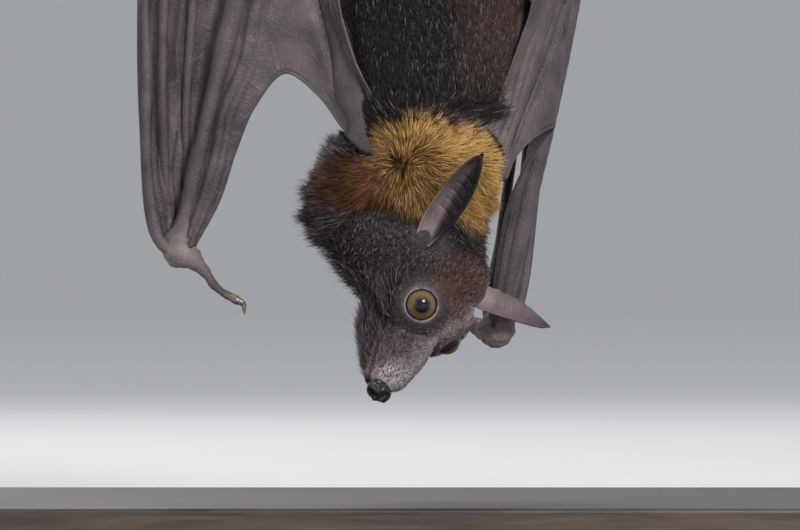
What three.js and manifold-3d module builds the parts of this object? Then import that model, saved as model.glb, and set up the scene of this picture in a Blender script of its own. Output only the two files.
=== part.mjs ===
// A flying fox (a large fruit bat) hanging head-down from a short cut branch, life size,
// on a display stand: a flat base and a rod up to each end of the branch.
// Millimetres, +Z up. The bat's back faces -Y, its right side is -X, its head hangs down.
import * as THREE from 'three';
import { mergeVertices } from 'three/addons/utils/BufferGeometryUtils.js';
import Module from 'manifold-3d';

const wasm = await Module();
wasm.setup();

// ---------- driving dimensions ----------
const GAP = 0.3; // clearance between neighbouring solids
const MEMBRANE_THICKNESS = 0.9;
const BONE_CLEARANCES = [6.2, 2.5, 2.6, 3.0]; // from forearm, fifth, fourth and third finger
const FULL_FOLD_WIDTH = 9; // a hand panel this wide folds to its full depth
const PANEL_END = 0.98;

const BASE_LENGTH = 360;
const BASE_WIDTH = 220;
const BASE_THICKNESS = 12;
const BASE_CORNER_RADIUS = 18;
const ROD_RADIUS = 5;
const ROD_SPACING = 324;
const PERCH_LENGTH = 352;
const PERCH_RADIUS = 10;
const PERCH_Y = 8;
const PERCH_Z = 412;

const EYE_RADIUS = 6.6;
const EYE_PLACE = { forward: -1.2, up: -2.2, side: 12.1 };
const NOSE_HALF_WIDTH = 5.6;
const NOSE_HALF_HEIGHT = 4.6;
const NOSE_LENGTH = 4.5;
const EAR_LENGTH = 38;
const EAR_HALF_WIDTH = 6.4;
const EAR_THICKNESS = 1.1;

const TOES_PER_FOOT = 5;
const TOE_RADIUS = 1.9;
const TOE_SPACING = 3.7;

// The head's own axes: muzzle direction, crown direction and the bat's left.
const HEAD_CENTRE = vec(13, -12, 76); // midway between the eyes
const FORWARD = vec(-0.517, -0.287, -0.805).normalize();
const LEFTWARD = vec(0.361, 0.783, -0.511).normalize();
const CROWNWARD = LEFTWARD.clone().cross(FORWARD).negate().normalize();

// Head sections: [distance forward, centre up, half width, half height].
const HEAD_SECTIONS = [
  [33, -6.6, 4.0, 4.6],
  [30.5, -6.5, 6.4, 7.6],
  [25, -6.8, 7.8, 10.2],
  [15, -10.2, 10.0, 14.6],
  [7, -12.1, 13.0, 16.5],
  [-1, -13.8, 16.8, 18.6],
  [-10, -14.8, 19.0, 20.8],
  [-20, -15.6, 20.6, 22.6],
  [-30, -16.4, 22.2, 22.9],
  [-40, -19.0, 23.0, 19.5],
];

// Level sections of the neck and trunk: [height, centre x, centre y, half width, half depth].
const NECK_SECTIONS = [
  [80, 7, 4, 13, 10],
  [92, 4, 4, 26, 18],
  [105, 3, 4.5, 32, 23],
  [120, 0, 3.5, 36.5, 26.5],
  [134, 1, 2.5, 37, 29.5],
  [148, 10, 3, 34.5, 31],
  [160, 14, 3, 36, 32],
];
const TRUNK_SECTIONS = [
  [146, 12.5, 3, 32, 30],
  [158, 14, 3, 35.5, 32],
  [176, 14, 3, 38, 33],
  [200, 13, 3, 38, 33],
  [230, 12, 3, 36, 31],
  [260, 11, 3, 32, 27],
  [284, 10, 3, 26, 21],
  [298, 10, 3, 16, 13],
  [303, 10, 3, 7, 6],
];
const NECK_TRUNK_HEIGHT = 152;
const THORAX_ABDOMEN_HEIGHT = 226;

// Joints and free edges of the two wings and legs, and the ears' directions in head axes.
const SIDES = {
  right: {
    sign: -1,
    shoulder: vec(-9, -7, 142),
    elbow: vec(-43, 8, 258),
    wrist: vec(-82.5, 4, 103),
    wristRadius: 6.8,
    thumb: [vec(-81.5, 2, 104), vec(-73, -1, 97), vec(-68, -3, 89.5), vec(-62.5, -4, 86)],
    thumbClaw: [vec(-60.6, -4, 85.2), vec(-58, -4.5, 83.6), vec(-57.4, -4.5, 79.8)],
    propatagiumEdge: [
      vec(-11, -8, 139), vec(-20.4, -6, 148), vec(-30, -3, 161), vec(-42.6, 0, 169.4),
      vec(-54, 2, 157), vec(-61, 2, 140.5), vec(-67, 1, 122), vec(-76, 1, 105),
    ],
    fingerRoots: [vec(-88.5, -1, 106), vec(-90, 5, 108), vec(-85, 9, 109), vec(-80, 11.5, 110)],
    fingerBows: [vec(-93.5, -3, 138), vec(-95, 7, 150), vec(-88, 4, 158), vec(-79.5, 10, 156)],
    knuckles: [vec(-93.5, -2, 170), vec(-95, 7, 214), vec(-86.5, 1, 212), vec(-76, 9, 207)],
    fingerBends: [vec(-94, -1, 186), vec(-89, 20, 301), vec(-79, 15, 296), vec(-69, 20, 289)],
    foldShift: vec(0, 6.5, 0),
    foldAxis: vec(1, 0, 0),
    panelFold: vec(0, 5, 0),
    panelStarts: [0.27, 0.14, 0.18], // how far up its fingers each panel starts
    sheetTop: vec(-58, 17, 281),
    flank: [vec(-7, -17, 154), vec(-16, -17, 172), vec(-22.5, -15, 196), vec(-23, -12, 230),
      vec(-18, -8, 262), vec(-11, -6, 284)],
    trailing: [vec(-62, 14, 312), vec(-51, 4, 348), vec(-27, -4, 378)],
    sheetSag: vec(-3, 3, 0),
    hip: vec(-3, 2, 284),
    knee: vec(-38, -22, 338),
    ankle: vec(-9, -7, 392),
    earBase: { forward: -26, up: -8.5, side: 21 },
    earAxis: { forward: -0.66, up: 0.43, side: 0.62 },
    earOpening: { forward: 0.66, up: -0.05, side: 0.75 },
  },
  left: {
    sign: 1,
    shoulder: vec(36, -6, 131),
    elbow: vec(69, 36, 233),
    wrist: vec(36, 31, 72),
    wristRadius: 8.6,
    thumb: [vec(35, 34, 72), vec(27, 42, 76), vec(18, 46, 82), vec(10, 46, 88)],
    thumbClaw: [vec(8.5, 46, 89.2), vec(4, 45.5, 91), vec(0.5, 44, 87.5)],
    propatagiumEdge: [
      vec(36.5, -7, 128), vec(44.4, -3, 140.5), vec(50, 2, 146), vec(57, 9, 149.6),
      vec(51.5, 15, 142), vec(46, 19, 133), vec(40, 23, 118), vec(33.5, 27, 78),
    ],
    fingerRoots: [vec(33, 39.5, 80), vec(37, 40, 80.5), vec(41, 38.6, 81), vec(44, 35.5, 82)],
    fingerBows: [vec(38, 57.5, 108), vec(46, 57.5, 124), vec(46.5, 51, 126), vec(51, 44.5, 126)],
    knuckles: [vec(42.5, 61.5, 140), vec(57, 61, 178), vec(52, 53, 179), vec(57.5, 46, 178)],
    fingerBends: [vec(44.5, 62.5, 155), vec(62, 60, 264), vec(62, 53, 261), vec(66, 46, 258)],
    foldShift: vec(-6, 0.5, 0),
    foldAxis: vec(0, 1, 0),
    panelFold: vec(4, 0, 0),
    panelStarts: [0.2, 0.22, 0.34],
    sheetTop: vec(71, 38, 256),
    flank: [vec(32, -18, 148), vec(41, -17, 172), vec(48.5, -15, 196), vec(47, -12, 230),
      vec(39, -8, 262), vec(31, -6, 284)],
    trailing: [vec(76, 32, 290), vec(69, 16, 340), vec(46, -1, 378)],
    sheetSag: vec(4, -2, 0),
    hip: vec(23, 2, 284),
    knee: vec(58, -22, 338),
    ankle: vec(29, -7, 392),
    earBase: { forward: -24, up: -5, side: 14 },
    earAxis: { forward: -0.24, up: 0.39, side: 0.89 },
    earOpening: { forward: 0.60, up: -0.55, side: 0.40 },
  },
};

// ---------- helpers ----------
function vec(x, y, z) {
  return new THREE.Vector3(x, y, z);
}

// A point given in the head's own axes. Side is measured towards the left (+1) or right (-1).
function headPoint(forward, up, side) {
  return HEAD_CENTRE.clone()
    .addScaledVector(FORWARD, forward)
    .addScaledVector(CROWNWARD, up)
    .addScaledVector(LEFTWARD, side);
}

function headDirection(parts, sign) {
  return headPoint(parts.forward, parts.up, sign * parts.side).sub(HEAD_CENTRE).normalize();
}

function toSolid(geometry) {
  const bare = geometry.clone();
  bare.deleteAttribute('normal');
  bare.deleteAttribute('uv');
  const merged = mergeVertices(bare, 1e-4);
  const vertProperties = new Float32Array(merged.attributes.position.array);
  const triVerts = new Uint32Array(merged.index.array);
  return new wasm.Manifold(new wasm.Mesh({ numProp: 3, vertProperties, triVerts }));
}

function toGeometry(solid) {
  const mesh = solid.getMesh();
  const geometry = new THREE.BufferGeometry();
  geometry.setAttribute('position', new THREE.BufferAttribute(mesh.vertProperties, 3));
  geometry.setIndex(new THREE.BufferAttribute(mesh.triVerts, 1));
  geometry.computeVertexNormals();
  return geometry;
}

// Joins rings of equal point count into one closed solid with a fan over each end.
function closedLoft(rings) {
  const sides = rings[0].length;
  const points = rings.flat();
  const index = [];
  for (let row = 0; row < rings.length - 1; row++) {
    for (let side = 0; side < sides; side++) {
      const a = row * sides + side;
      const b = row * sides + (side + 1) % sides;
      index.push(a, b, a + sides, b, b + sides, a + sides);
    }
  }
  for (const [row, flip] of [[0, true], [rings.length - 1, false]]) {
    const centre = points.length;
    points.push(rings[row].reduce((sum, p) => sum.add(p), vec(0, 0, 0)).divideScalar(sides));
    for (let side = 0; side < sides; side++) {
      const a = row * sides + side;
      const b = row * sides + (side + 1) % sides;
      index.push(...(flip ? [b, a, centre] : [a, b, centre]));
    }
  }
  const geometry = new THREE.BufferGeometry().setFromPoints(points);
  geometry.setIndex(index);
  return orientedSolid(geometry);
}

// Turns the faces out where the rings were wound the other way.
function orientedSolid(geometry) {
  const solid = toSolid(geometry);
  if (solid.volume() > 0) return solid;
  const index = geometry.index.array;
  for (let i = 0; i < index.length; i += 3) [index[i], index[i + 1]] = [index[i + 1], index[i]];
  return toSolid(geometry);
}

// A closed ring of points on a superellipse: squareness 2 is an ellipse, more is boxier.
function ovalRing(centre, across, along, halfAcross, halfAlong, sides, squareness = 2) {
  const ring = [];
  for (let side = 0; side < sides; side++) {
    const angle = (side / sides) * Math.PI * 2;
    const power = 2 / squareness;
    const x = Math.sign(Math.cos(angle)) * Math.abs(Math.cos(angle)) ** power;
    const y = Math.sign(Math.sin(angle)) * Math.abs(Math.sin(angle)) ** power;
    ring.push(centre.clone()
      .addScaledVector(across, x * halfAcross)
      .addScaledVector(along, y * halfAlong));
  }
  return ring;
}

// Rows of numbers drawn out to more rows by a smooth curve through each column.
function smoothRows(rows, count) {
  const smooth = [];
  for (let step = 0; step < count; step++) {
    const place = (step / (count - 1)) * (rows.length - 1);
    const cell = Math.min(Math.floor(place), rows.length - 2);
    const t = place - cell;
    const before = rows[Math.max(cell - 1, 0)];
    const after = rows[Math.min(cell + 2, rows.length - 1)];
    smooth.push(rows[cell].map((value, column) => {
      const next = rows[cell + 1][column];
      const slopeIn = (next - before[column]) / 2;
      const slopeOut = (after[column] - value) / 2;
      const cubic = 2 * value - 2 * next + slopeIn + slopeOut;
      const square = 3 * next - 3 * value - 2 * slopeIn - slopeOut;
      return ((cubic * t + square) * t + slopeIn) * t + value;
    }));
  }
  return smooth;
}

// A limb: a tube with round ends along a smooth curve, its radius drawn from a short list.
function limb(points, radii, options) {
  const { steps, sides, flatten = 1, flatTowards = vec(0, 1, 0), grow = 0 } = options;
  const curve = pathCurve(points);
  const radiusRows = smoothRows(radii.map((radius) => [radius]), steps + 1);
  const ringAt = (t, shift, scale) => {
    const tangent = curve.getTangent(t);
    const across = flatTowards.clone().cross(tangent).normalize();
    const thin = tangent.clone().cross(across).normalize();
    const radius = radiusRows[Math.round(t * steps)][0] + grow;
    const centre = curve.getPoint(t).addScaledVector(tangent, shift * radius);
    return ovalRing(centre, across, thin, radius * scale, radius * scale * flatten, sides);
  };
  const rings = [ringAt(0, -0.45, 0.6)];
  for (let step = 0; step <= steps; step++) rings.push(ringAt(step / steps, 0, 1));
  rings.push(ringAt(1, 0.45, 0.6));
  return closedLoft(rings);
}

// A thin closed sheet over a grid of points, thickened along its own normals.
function sheet(pointAt, rows, columns, thickness) {
  const skins = [[], []];
  const step = 1e-3;
  for (let row = 0; row <= rows; row++) {
    for (let column = 0; column <= columns; column++) {
      const t = row / rows;
      const v = column / columns;
      const point = pointAt(t, v);
      const alongT = pointAt(Math.min(t + step, 1), v).sub(pointAt(Math.max(t - step, 0), v));
      const alongV = pointAt(t, Math.min(v + step, 1)).sub(pointAt(t, Math.max(v - step, 0)));
      const normal = alongT.cross(alongV).normalize().multiplyScalar(thickness / 2);
      skins[0].push(point.clone().add(normal));
      skins[1].push(point.clone().sub(normal));
    }
  }
  const width = columns + 1;
  const back = skins[0].length;
  const index = [];
  for (let row = 0; row < rows; row++) {
    for (let column = 0; column < columns; column++) {
      const a = row * width + column;
      index.push(a, a + width, a + 1, a + 1, a + width, a + width + 1);
      index.push(back + a, back + a + 1, back + a + width);
      index.push(back + a + 1, back + a + width + 1, back + a + width);
    }
  }
  const rim = [];
  for (let column = 0; column < columns; column++) rim.push(column);
  for (let row = 0; row < rows; row++) rim.push(row * width + columns);
  for (let column = columns; column > 0; column--) rim.push(rows * width + column);
  for (let row = rows; row > 0; row--) rim.push(row * width);
  rim.forEach((a, place) => {
    const b = rim[(place + 1) % rim.length];
    index.push(a, b, back + a, b, back + b, back + a);
  });
  const geometry = new THREE.BufferGeometry().setFromPoints(skins.flat());
  geometry.setIndex(index);
  return orientedSolid(geometry);
}

// The half of space behind a plane, as a large block to cut with.
function halfSpace(point, normal) {
  const size = 700;
  const block = new THREE.BoxGeometry(size, size, size);
  block.translate(0, 0, -size / 2);
  const turn = new THREE.Quaternion().setFromUnitVectors(vec(0, 0, 1), normal.clone().normalize());
  block.applyQuaternion(turn);
  block.translate(point.x, point.y, point.z);
  return toSolid(block);
}

function largestPiece(solid) {
  const pieces = solid.decompose();
  return pieces.reduce((best, piece) => (piece.volume() > best.volume() ? piece : best));
}

function cutAway(solid, ...cutters) {
  return largestPiece(cutters.reduce((rest, cutter) => rest.subtract(cutter), solid));
}

// The plane that halves the bend of a joint; the limb towards `from` is kept.
function jointCut(from, joint, to) {
  const towardsTo = to.clone().sub(joint).normalize();
  const normal = from.clone().sub(joint).normalize().sub(towardsTo).normalize();
  return halfSpace(joint.clone().addScaledVector(normal, GAP / 2), normal.negate());
}

function pathCurve(points) {
  return new THREE.CatmullRomCurve3(points, false, 'centripetal');
}

// ---------- head ----------
function headShape(grow = 0) {
  const rings = smoothRows(HEAD_SECTIONS, 13).map(([forward, up, halfWidth, halfHeight]) => {
    const centre = headPoint(forward, up, 0);
    return ovalRing(centre, LEFTWARD, CROWNWARD, halfWidth + grow, halfHeight + grow, 16, 2.3);
  });
  return closedLoft(rings);
}

const MOUTH_FRONT = headPoint(34, -9.2, 0);
const MOUTH_CORNER = headPoint(5, -13.5, 0);
const NECK_PLANE_POINT = headPoint(-27, -13, 0);
const NECK_PLANE_NORMAL = vec(-0.35, -0.15, -1).normalize();

function belowMouth(shift) {
  const along = MOUTH_FRONT.clone().sub(MOUTH_CORNER).normalize();
  const downward = along.clone().cross(LEFTWARD).normalize();
  if (downward.dot(CROWNWARD) > 0) downward.negate();
  const lipPoint = MOUTH_CORNER.clone().addScaledVector(downward, shift);
  const lip = halfSpace(lipPoint, downward.clone().negate());
  const cornerPoint = MOUTH_CORNER.clone().addScaledVector(along, shift);
  const corner = halfSpace(cornerPoint, along.clone().negate());
  return lip.intersect(corner);
}

function eyeShape(side, grow = 0) {
  const ball = new THREE.SphereGeometry(EYE_RADIUS + grow, 10, 6);
  const place = headPoint(EYE_PLACE.forward, EYE_PLACE.up, side.sign * EYE_PLACE.side);
  ball.translate(place.x, place.y, place.z);
  return toSolid(ball);
}

function noseShape(grow = 0) {
  const rings = [];
  const steps = 5;
  for (let step = 0; step <= steps; step++) {
    const t = step / steps;
    const round = Math.sqrt(Math.max(1 - (1.25 * t - 0.3) ** 2, 0.04));
    const centre = headPoint(31.2 + NOSE_LENGTH * t + grow * (2 * t - 1), -5.2 - 0.6 * t, 0);
    rings.push(ovalRing(centre, LEFTWARD, CROWNWARD,
      NOSE_HALF_WIDTH * round + grow, NOSE_HALF_HEIGHT * round + grow, 12, 2.4));
  }
  return closedLoft(rings);
}

// A leaf-shaped ear rolled about its long axis: rolled tight at the root, open at the tip.
function earShape(side) {
  const base = headPoint(side.earBase.forward, side.earBase.up, side.sign * side.earBase.side);
  const axis = headDirection(side.earAxis, side.sign);
  const opening = headDirection(side.earOpening, side.sign);
  const across = axis.clone().cross(opening).normalize();
  const facing = across.clone().cross(axis).normalize();
  const pointAt = (t, v) => {
    const spread = 2 * v - 1;
    const halfWidth = EAR_HALF_WIDTH * (0.55 + 1.6 * t - 2.15 * t * t) ** 0.8 + 0.35;
    const roll = 1.5 - 0.9 * t;
    const radius = halfWidth / Math.sin(Math.min(roll, Math.PI / 2));
    const sweep = Math.sin(Math.PI * t) * 2.5;
    return base.clone()
      .addScaledVector(axis, EAR_LENGTH * t + 1.5 * (1 - spread * spread) * t)
      .addScaledVector(across, radius * Math.sin(roll * spread))
      .addScaledVector(facing, radius * (1 - Math.cos(roll * spread)) * 0.9 - sweep);
  };
  return sheet(pointAt, 7, 5, EAR_THICKNESS);
}

// ---------- neck, trunk and legs ----------
function levelLoft(sections, count, grow) {
  const rings = smoothRows(sections, count).map(([height, x, y, halfWidth, halfDepth]) => {
    const centre = vec(x, y, height);
    return ovalRing(centre, vec(1, 0, 0), vec(0, 1, 0), halfWidth + grow, halfDepth + grow, 16, 2.2);
  });
  return closedLoft(rings);
}

function neckShape(grow = 0) {
  return levelLoft(NECK_SECTIONS, 8, grow);
}

function trunkShape(grow = 0) {
  return levelLoft(TRUNK_SECTIONS, 9, grow);
}

function thighShape(side, grow = 0) {
  const middle = side.hip.clone().lerp(side.knee, 0.5).add(vec(0, 1, -2));
  return limb([side.hip, middle, side.knee], [12.5, 10.5, 7.2], { steps: 4, sides: 10, grow });
}

function shankShape(side, grow = 0) {
  const middle = side.knee.clone().lerp(side.ankle, 0.5).add(vec(side.sign * 1.5, -2, 0));
  return limb([side.knee, middle, side.ankle], [7.0, 5.4, 3.9], { steps: 4, sides: 8, grow });
}

// A point on a circle about the branch: angle 0 is the near side, 90 degrees the top.
function aroundPerch(x, distance, degrees) {
  const angle = THREE.MathUtils.degToRad(degrees);
  return vec(x, PERCH_Y - distance * Math.cos(angle), PERCH_Z + distance * Math.sin(angle));
}

// Each toe and its claw: [degrees round the branch, lift off it, sideways spread].
const TOE_BENDS = [
  [10, 0, 1], [50, 0, 1.08], [90, 0, 1.16], [122, 0.5, 1.22], [152, 1.4, 1.25], [180, -0.8, 1.25],
];
const TOE_RADII = [TOE_RADIUS, TOE_RADIUS, 1.6, 1.5, 1.0, 0.3];

function footShape(side) {
  const ankle = side.ankle;
  const toeDistance = PERCH_RADIUS + 0.7 + TOE_RADIUS;
  const toeShape = { steps: 5, sides: 5, flatTowards: vec(1, 0, 0) };
  const soleTop = aroundPerch(ankle.x, toeDistance + 0.6, 22);
  const soleMiddle = aroundPerch(ankle.x, toeDistance + 1.6, -20);
  let foot = limb([ankle, soleMiddle, soleTop], [4.2, 6.6, 8.6],
    { steps: 3, sides: 8, flatten: 0.42 });
  for (let toe = 0; toe < TOES_PER_FOOT; toe++) {
    const offset = (toe - (TOES_PER_FOOT - 1) / 2) * TOE_SPACING;
    const toePath = TOE_BENDS.map(([degrees, lift, spread]) => (
      aroundPerch(ankle.x + offset * spread, toeDistance + lift, degrees)));
    foot = foot.add(limb(toePath, TOE_RADII, toeShape));
  }
  return foot;
}

// ---------- wing bones ----------
function upperArmShape(side, grow = 0) {
  const middle = side.shoulder.clone().lerp(side.elbow, 0.45).add(vec(0, -1.5, 0));
  return limb([side.shoulder, middle, side.elbow], [9.5, 7.2, 5.6], { steps: 5, sides: 8, grow });
}

function forearmShape(side, grow = 0) {
  const middle = side.elbow.clone().lerp(side.wrist, 0.45).add(vec(side.sign * 2, 0, 0));
  return limb([side.elbow, middle, side.wrist], [5.8, 4.9, 3.6], { steps: 5, sides: 8, grow });
}

function wristShape(side, grow = 0) {
  const down = side.wrist.clone().sub(side.elbow).normalize();
  const top = side.wrist.clone().addScaledVector(down, -11);
  const bottom = side.wrist.clone().addScaledVector(down, 4.5);
  const shape = { steps: 4, sides: 8, grow, flatten: 0.85 };
  return limb([top, side.wrist, bottom], [4.4, side.wristRadius, side.wristRadius / 2], shape);
}

function thumbShape(side, grow = 0) {
  return limb(side.thumb, [3.6, 2.6, 2.2, 1.9], { steps: 5, sides: 6, grow });
}

function thumbClawShape(side) {
  return limb(side.thumbClaw, [1.8, 1.2, 0.35], { steps: 3, sides: 5 });
}

const FINGER_RADII = [2.1, 1.8, 2.1, 1.7, 1.6, 1.3, 0.8];

// The palm bone and first finger bone run up beside the forearm in one gentle curve.
function fingerPath(side, finger) {
  const knuckle = side.knuckles[finger];
  const bend = side.fingerBends[finger];
  const middle = knuckle.clone().lerp(bend, 0.6);
  return [side.fingerRoots[finger], side.fingerBows[finger], knuckle, middle, bend];
}

// The last bone of each long finger is folded back down behind the hand; the short second
// finger just ends in a small claw.
function fingerShape(side, finger) {
  const path = fingerPath(side, finger);
  const [, , knuckle, , bend] = path;
  if (finger === 0) {
    path.push(bend.clone().lerp(knuckle, -0.7));
  } else {
    path.push(bend.clone().addScaledVector(side.foldShift, 0.8).add(vec(0, 0, -3)));
    path.push(knuckle.clone().add(side.foldShift).add(vec(0, 0, 14)));
  }
  const radii = FINGER_RADII.slice(0, path.length);
  return limb(path, radii, { steps: 2 * (path.length - 1), sides: 5, flatTowards: side.foldAxis });
}

// ---------- membranes ----------
// Runs straight between two paths and sags to one side between them.
function ruledMembrane(pathA, pathB, sag, from = 0, to = 1) {
  return (t, v) => {
    const s = from + (to - from) * t;
    const a = pathA.getPoint(s);
    const b = pathB.getPoint(s);
    return a.lerp(b, v).addScaledVector(sag, Math.sin(Math.PI * v));
  };
}

function propatagiumShape(side) {
  const bones = pathCurve([
    side.shoulder, side.shoulder.clone().lerp(side.elbow, 0.5), side.elbow,
    side.elbow.clone().lerp(side.wrist, 0.33), side.elbow.clone().lerp(side.wrist, 0.66), side.wrist,
  ]);
  const edge = pathCurve(side.propatagiumEdge);
  const sag = vec(0, -3.5, 0);
  return sheet(ruledMembrane(edge, bones, sag, 0.02, 0.97), 10, 3, MEMBRANE_THICKNESS);
}

function plagiopatagiumShape(side) {
  const root = pathCurve([...side.flank, side.knee, side.ankle]);
  const outer = pathCurve([
    side.shoulder, side.shoulder.clone().lerp(side.elbow, 0.5), side.elbow,
    side.sheetTop, ...side.trailing, side.ankle,
  ]);
  return sheet(ruledMembrane(root, outer, side.sheetSag, 0.03, 0.97), 10, 3, MEMBRANE_THICKNESS);
}

// One panel of the folded hand, between two neighbouring bones. It keeps its clearance from each
// bone, and folds further out of their plane where it is wider.
function handPanel(bones, clearances, fold, from) {
  const pointAt = (t, v) => {
    const s = from + (PANEL_END - from) * t;
    const a = bones[0].getPoint(s);
    const b = bones[1].getPoint(s);
    const span = b.clone().sub(a);
    const length = span.length();
    const width = length - clearances[0] - clearances[1] - 2 * GAP;
    const depth = Math.min(width / FULL_FOLD_WIDTH, 1) * Math.sin(Math.PI * v);
    return a.addScaledVector(span, (clearances[0] + GAP + width * v) / length)
      .addScaledVector(fold, depth * Math.sin(Math.PI * (0.15 + 0.8 * t)));
  };
  return sheet(pointAt, 7, 3, MEMBRANE_THICKNESS);
}

// ---------- stand and branch ----------
function perchShape(grow = 0) {
  const steps = 10;
  const rings = [];
  for (let step = 0; step <= steps; step++) {
    const t = step / steps;
    const x = (t - 0.5) * PERCH_LENGTH;
    const taper = PERCH_RADIUS * (1.08 - 0.12 * t);
    const beyondGrip = Math.abs(x) > 70;
    const bend = beyondGrip ? Math.sin(t * 9) * 1.2 : 0;
    const radius = (beyondGrip ? taper : PERCH_RADIUS) + grow;
    const centre = vec(x, PERCH_Y, PERCH_Z + bend);
    rings.push(ovalRing(centre, vec(0, 1, 0), vec(0, 0, 1), radius, radius, 12));
  }
  return closedLoft(rings);
}

function baseGeometry() {
  const outline = new THREE.Shape();
  const halfLength = BASE_LENGTH / 2;
  const halfWidth = BASE_WIDTH / 2;
  const corner = BASE_CORNER_RADIUS;
  outline.absarc(halfLength - corner, halfWidth - corner, corner, 0, Math.PI / 2);
  outline.absarc(corner - halfLength, halfWidth - corner, corner, Math.PI / 2, Math.PI);
  outline.absarc(corner - halfLength, corner - halfWidth, corner, Math.PI, Math.PI * 1.5);
  outline.absarc(halfLength - corner, corner - halfWidth, corner, Math.PI * 1.5, Math.PI * 2);
  const extrusion = { depth: BASE_THICKNESS, bevelEnabled: false, curveSegments: 4 };
  return new THREE.ExtrudeGeometry(outline, extrusion);
}

function rodGeometry() {
  const height = PERCH_Z - BASE_THICKNESS - GAP;
  const rod = new THREE.CylinderGeometry(ROD_RADIUS, ROD_RADIUS, height, 14);
  rod.rotateX(Math.PI / 2);
  rod.translate(0, 0, height / 2);
  return rod;
}

// ---------- assembly ----------
const FINISH = {
  darkFur: { color: 0x2a211d, roughness: 0.9 },
  backFur: { color: 0x1c1716, roughness: 0.85 },
  goldFur: { color: 0xa9772e, roughness: 0.95 },
  membrane: { color: 0x3d3437, roughness: 0.6 },
  bareSkin: { color: 0x5b4a4b, roughness: 0.6 },
  noseSkin: { color: 0x17161a, roughness: 0.25 },
  eye: { color: 0x6e4a1c, roughness: 0.05 },
  claw: { color: 0x6a5a4c, roughness: 0.35 },
  bark: { color: 0x6d5a48, roughness: 0.9 },
  base: { color: 0x2b2b2d, roughness: 0.5 },
  steel: { color: 0x9a9c9e, roughness: 0.3, metalness: 1 },
};

const model = new THREE.Group();

function addNode(name, shape, finish) {
  const geometry = shape.isBufferGeometry ? shape : toGeometry(shape);
  const mesh = new THREE.Mesh(geometry, new THREE.MeshStandardMaterial(FINISH[finish]));
  mesh.name = name;
  model.add(mesh);
  return mesh;
}

const headAndNeck = headShape().add(neckShape());
const bothEyes = eyeShape(SIDES.left, GAP).add(eyeShape(SIDES.right, GAP));
const headEnd = NECK_PLANE_POINT.clone().addScaledVector(NECK_PLANE_NORMAL, GAP);
const neckSide = halfSpace(headEnd, NECK_PLANE_NORMAL);
const nosePlace = noseShape(GAP);
addNode('head', cutAway(headAndNeck, neckSide, belowMouth(0), bothEyes, nosePlace), 'darkFur');
addNode('lower_jaw', cutAway(headAndNeck.intersect(belowMouth(GAP)), nosePlace), 'darkFur');
addNode('nose_pad', noseShape(), 'noseSkin');

const neckStart = halfSpace(NECK_PLANE_POINT, NECK_PLANE_NORMAL);
const shoulderLevel = halfSpace(vec(0, 0, NECK_TRUNK_HEIGHT), vec(0, 0, 1));
const neck = headAndNeck.intersect(neckStart).intersect(shoulderLevel);
const armCutters = Object.values(SIDES).map((side) => upperArmShape(side, GAP));
addNode('neck', cutAway(neck, ...armCutters), 'goldFur');

const aboveShoulder = halfSpace(vec(0, 0, NECK_TRUNK_HEIGHT + GAP), vec(0, 0, -1));
const belowWaist = halfSpace(vec(0, 0, THORAX_ABDOMEN_HEIGHT), vec(0, 0, 1));
const aboveWaist = halfSpace(vec(0, 0, THORAX_ABDOMEN_HEIGHT + GAP), vec(0, 0, -1));
const thighCutters = Object.values(SIDES).map((side) => thighShape(side, GAP));
const thorax = trunkShape().intersect(aboveShoulder).intersect(belowWaist);
addNode('thorax', cutAway(thorax, ...armCutters), 'backFur');
addNode('abdomen', cutAway(trunkShape().intersect(aboveWaist), ...thighCutters), 'backFur');

const grownBody = headShape(GAP).add(neckShape(GAP)).add(trunkShape(GAP));
const grownPerch = perchShape(GAP);

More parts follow.
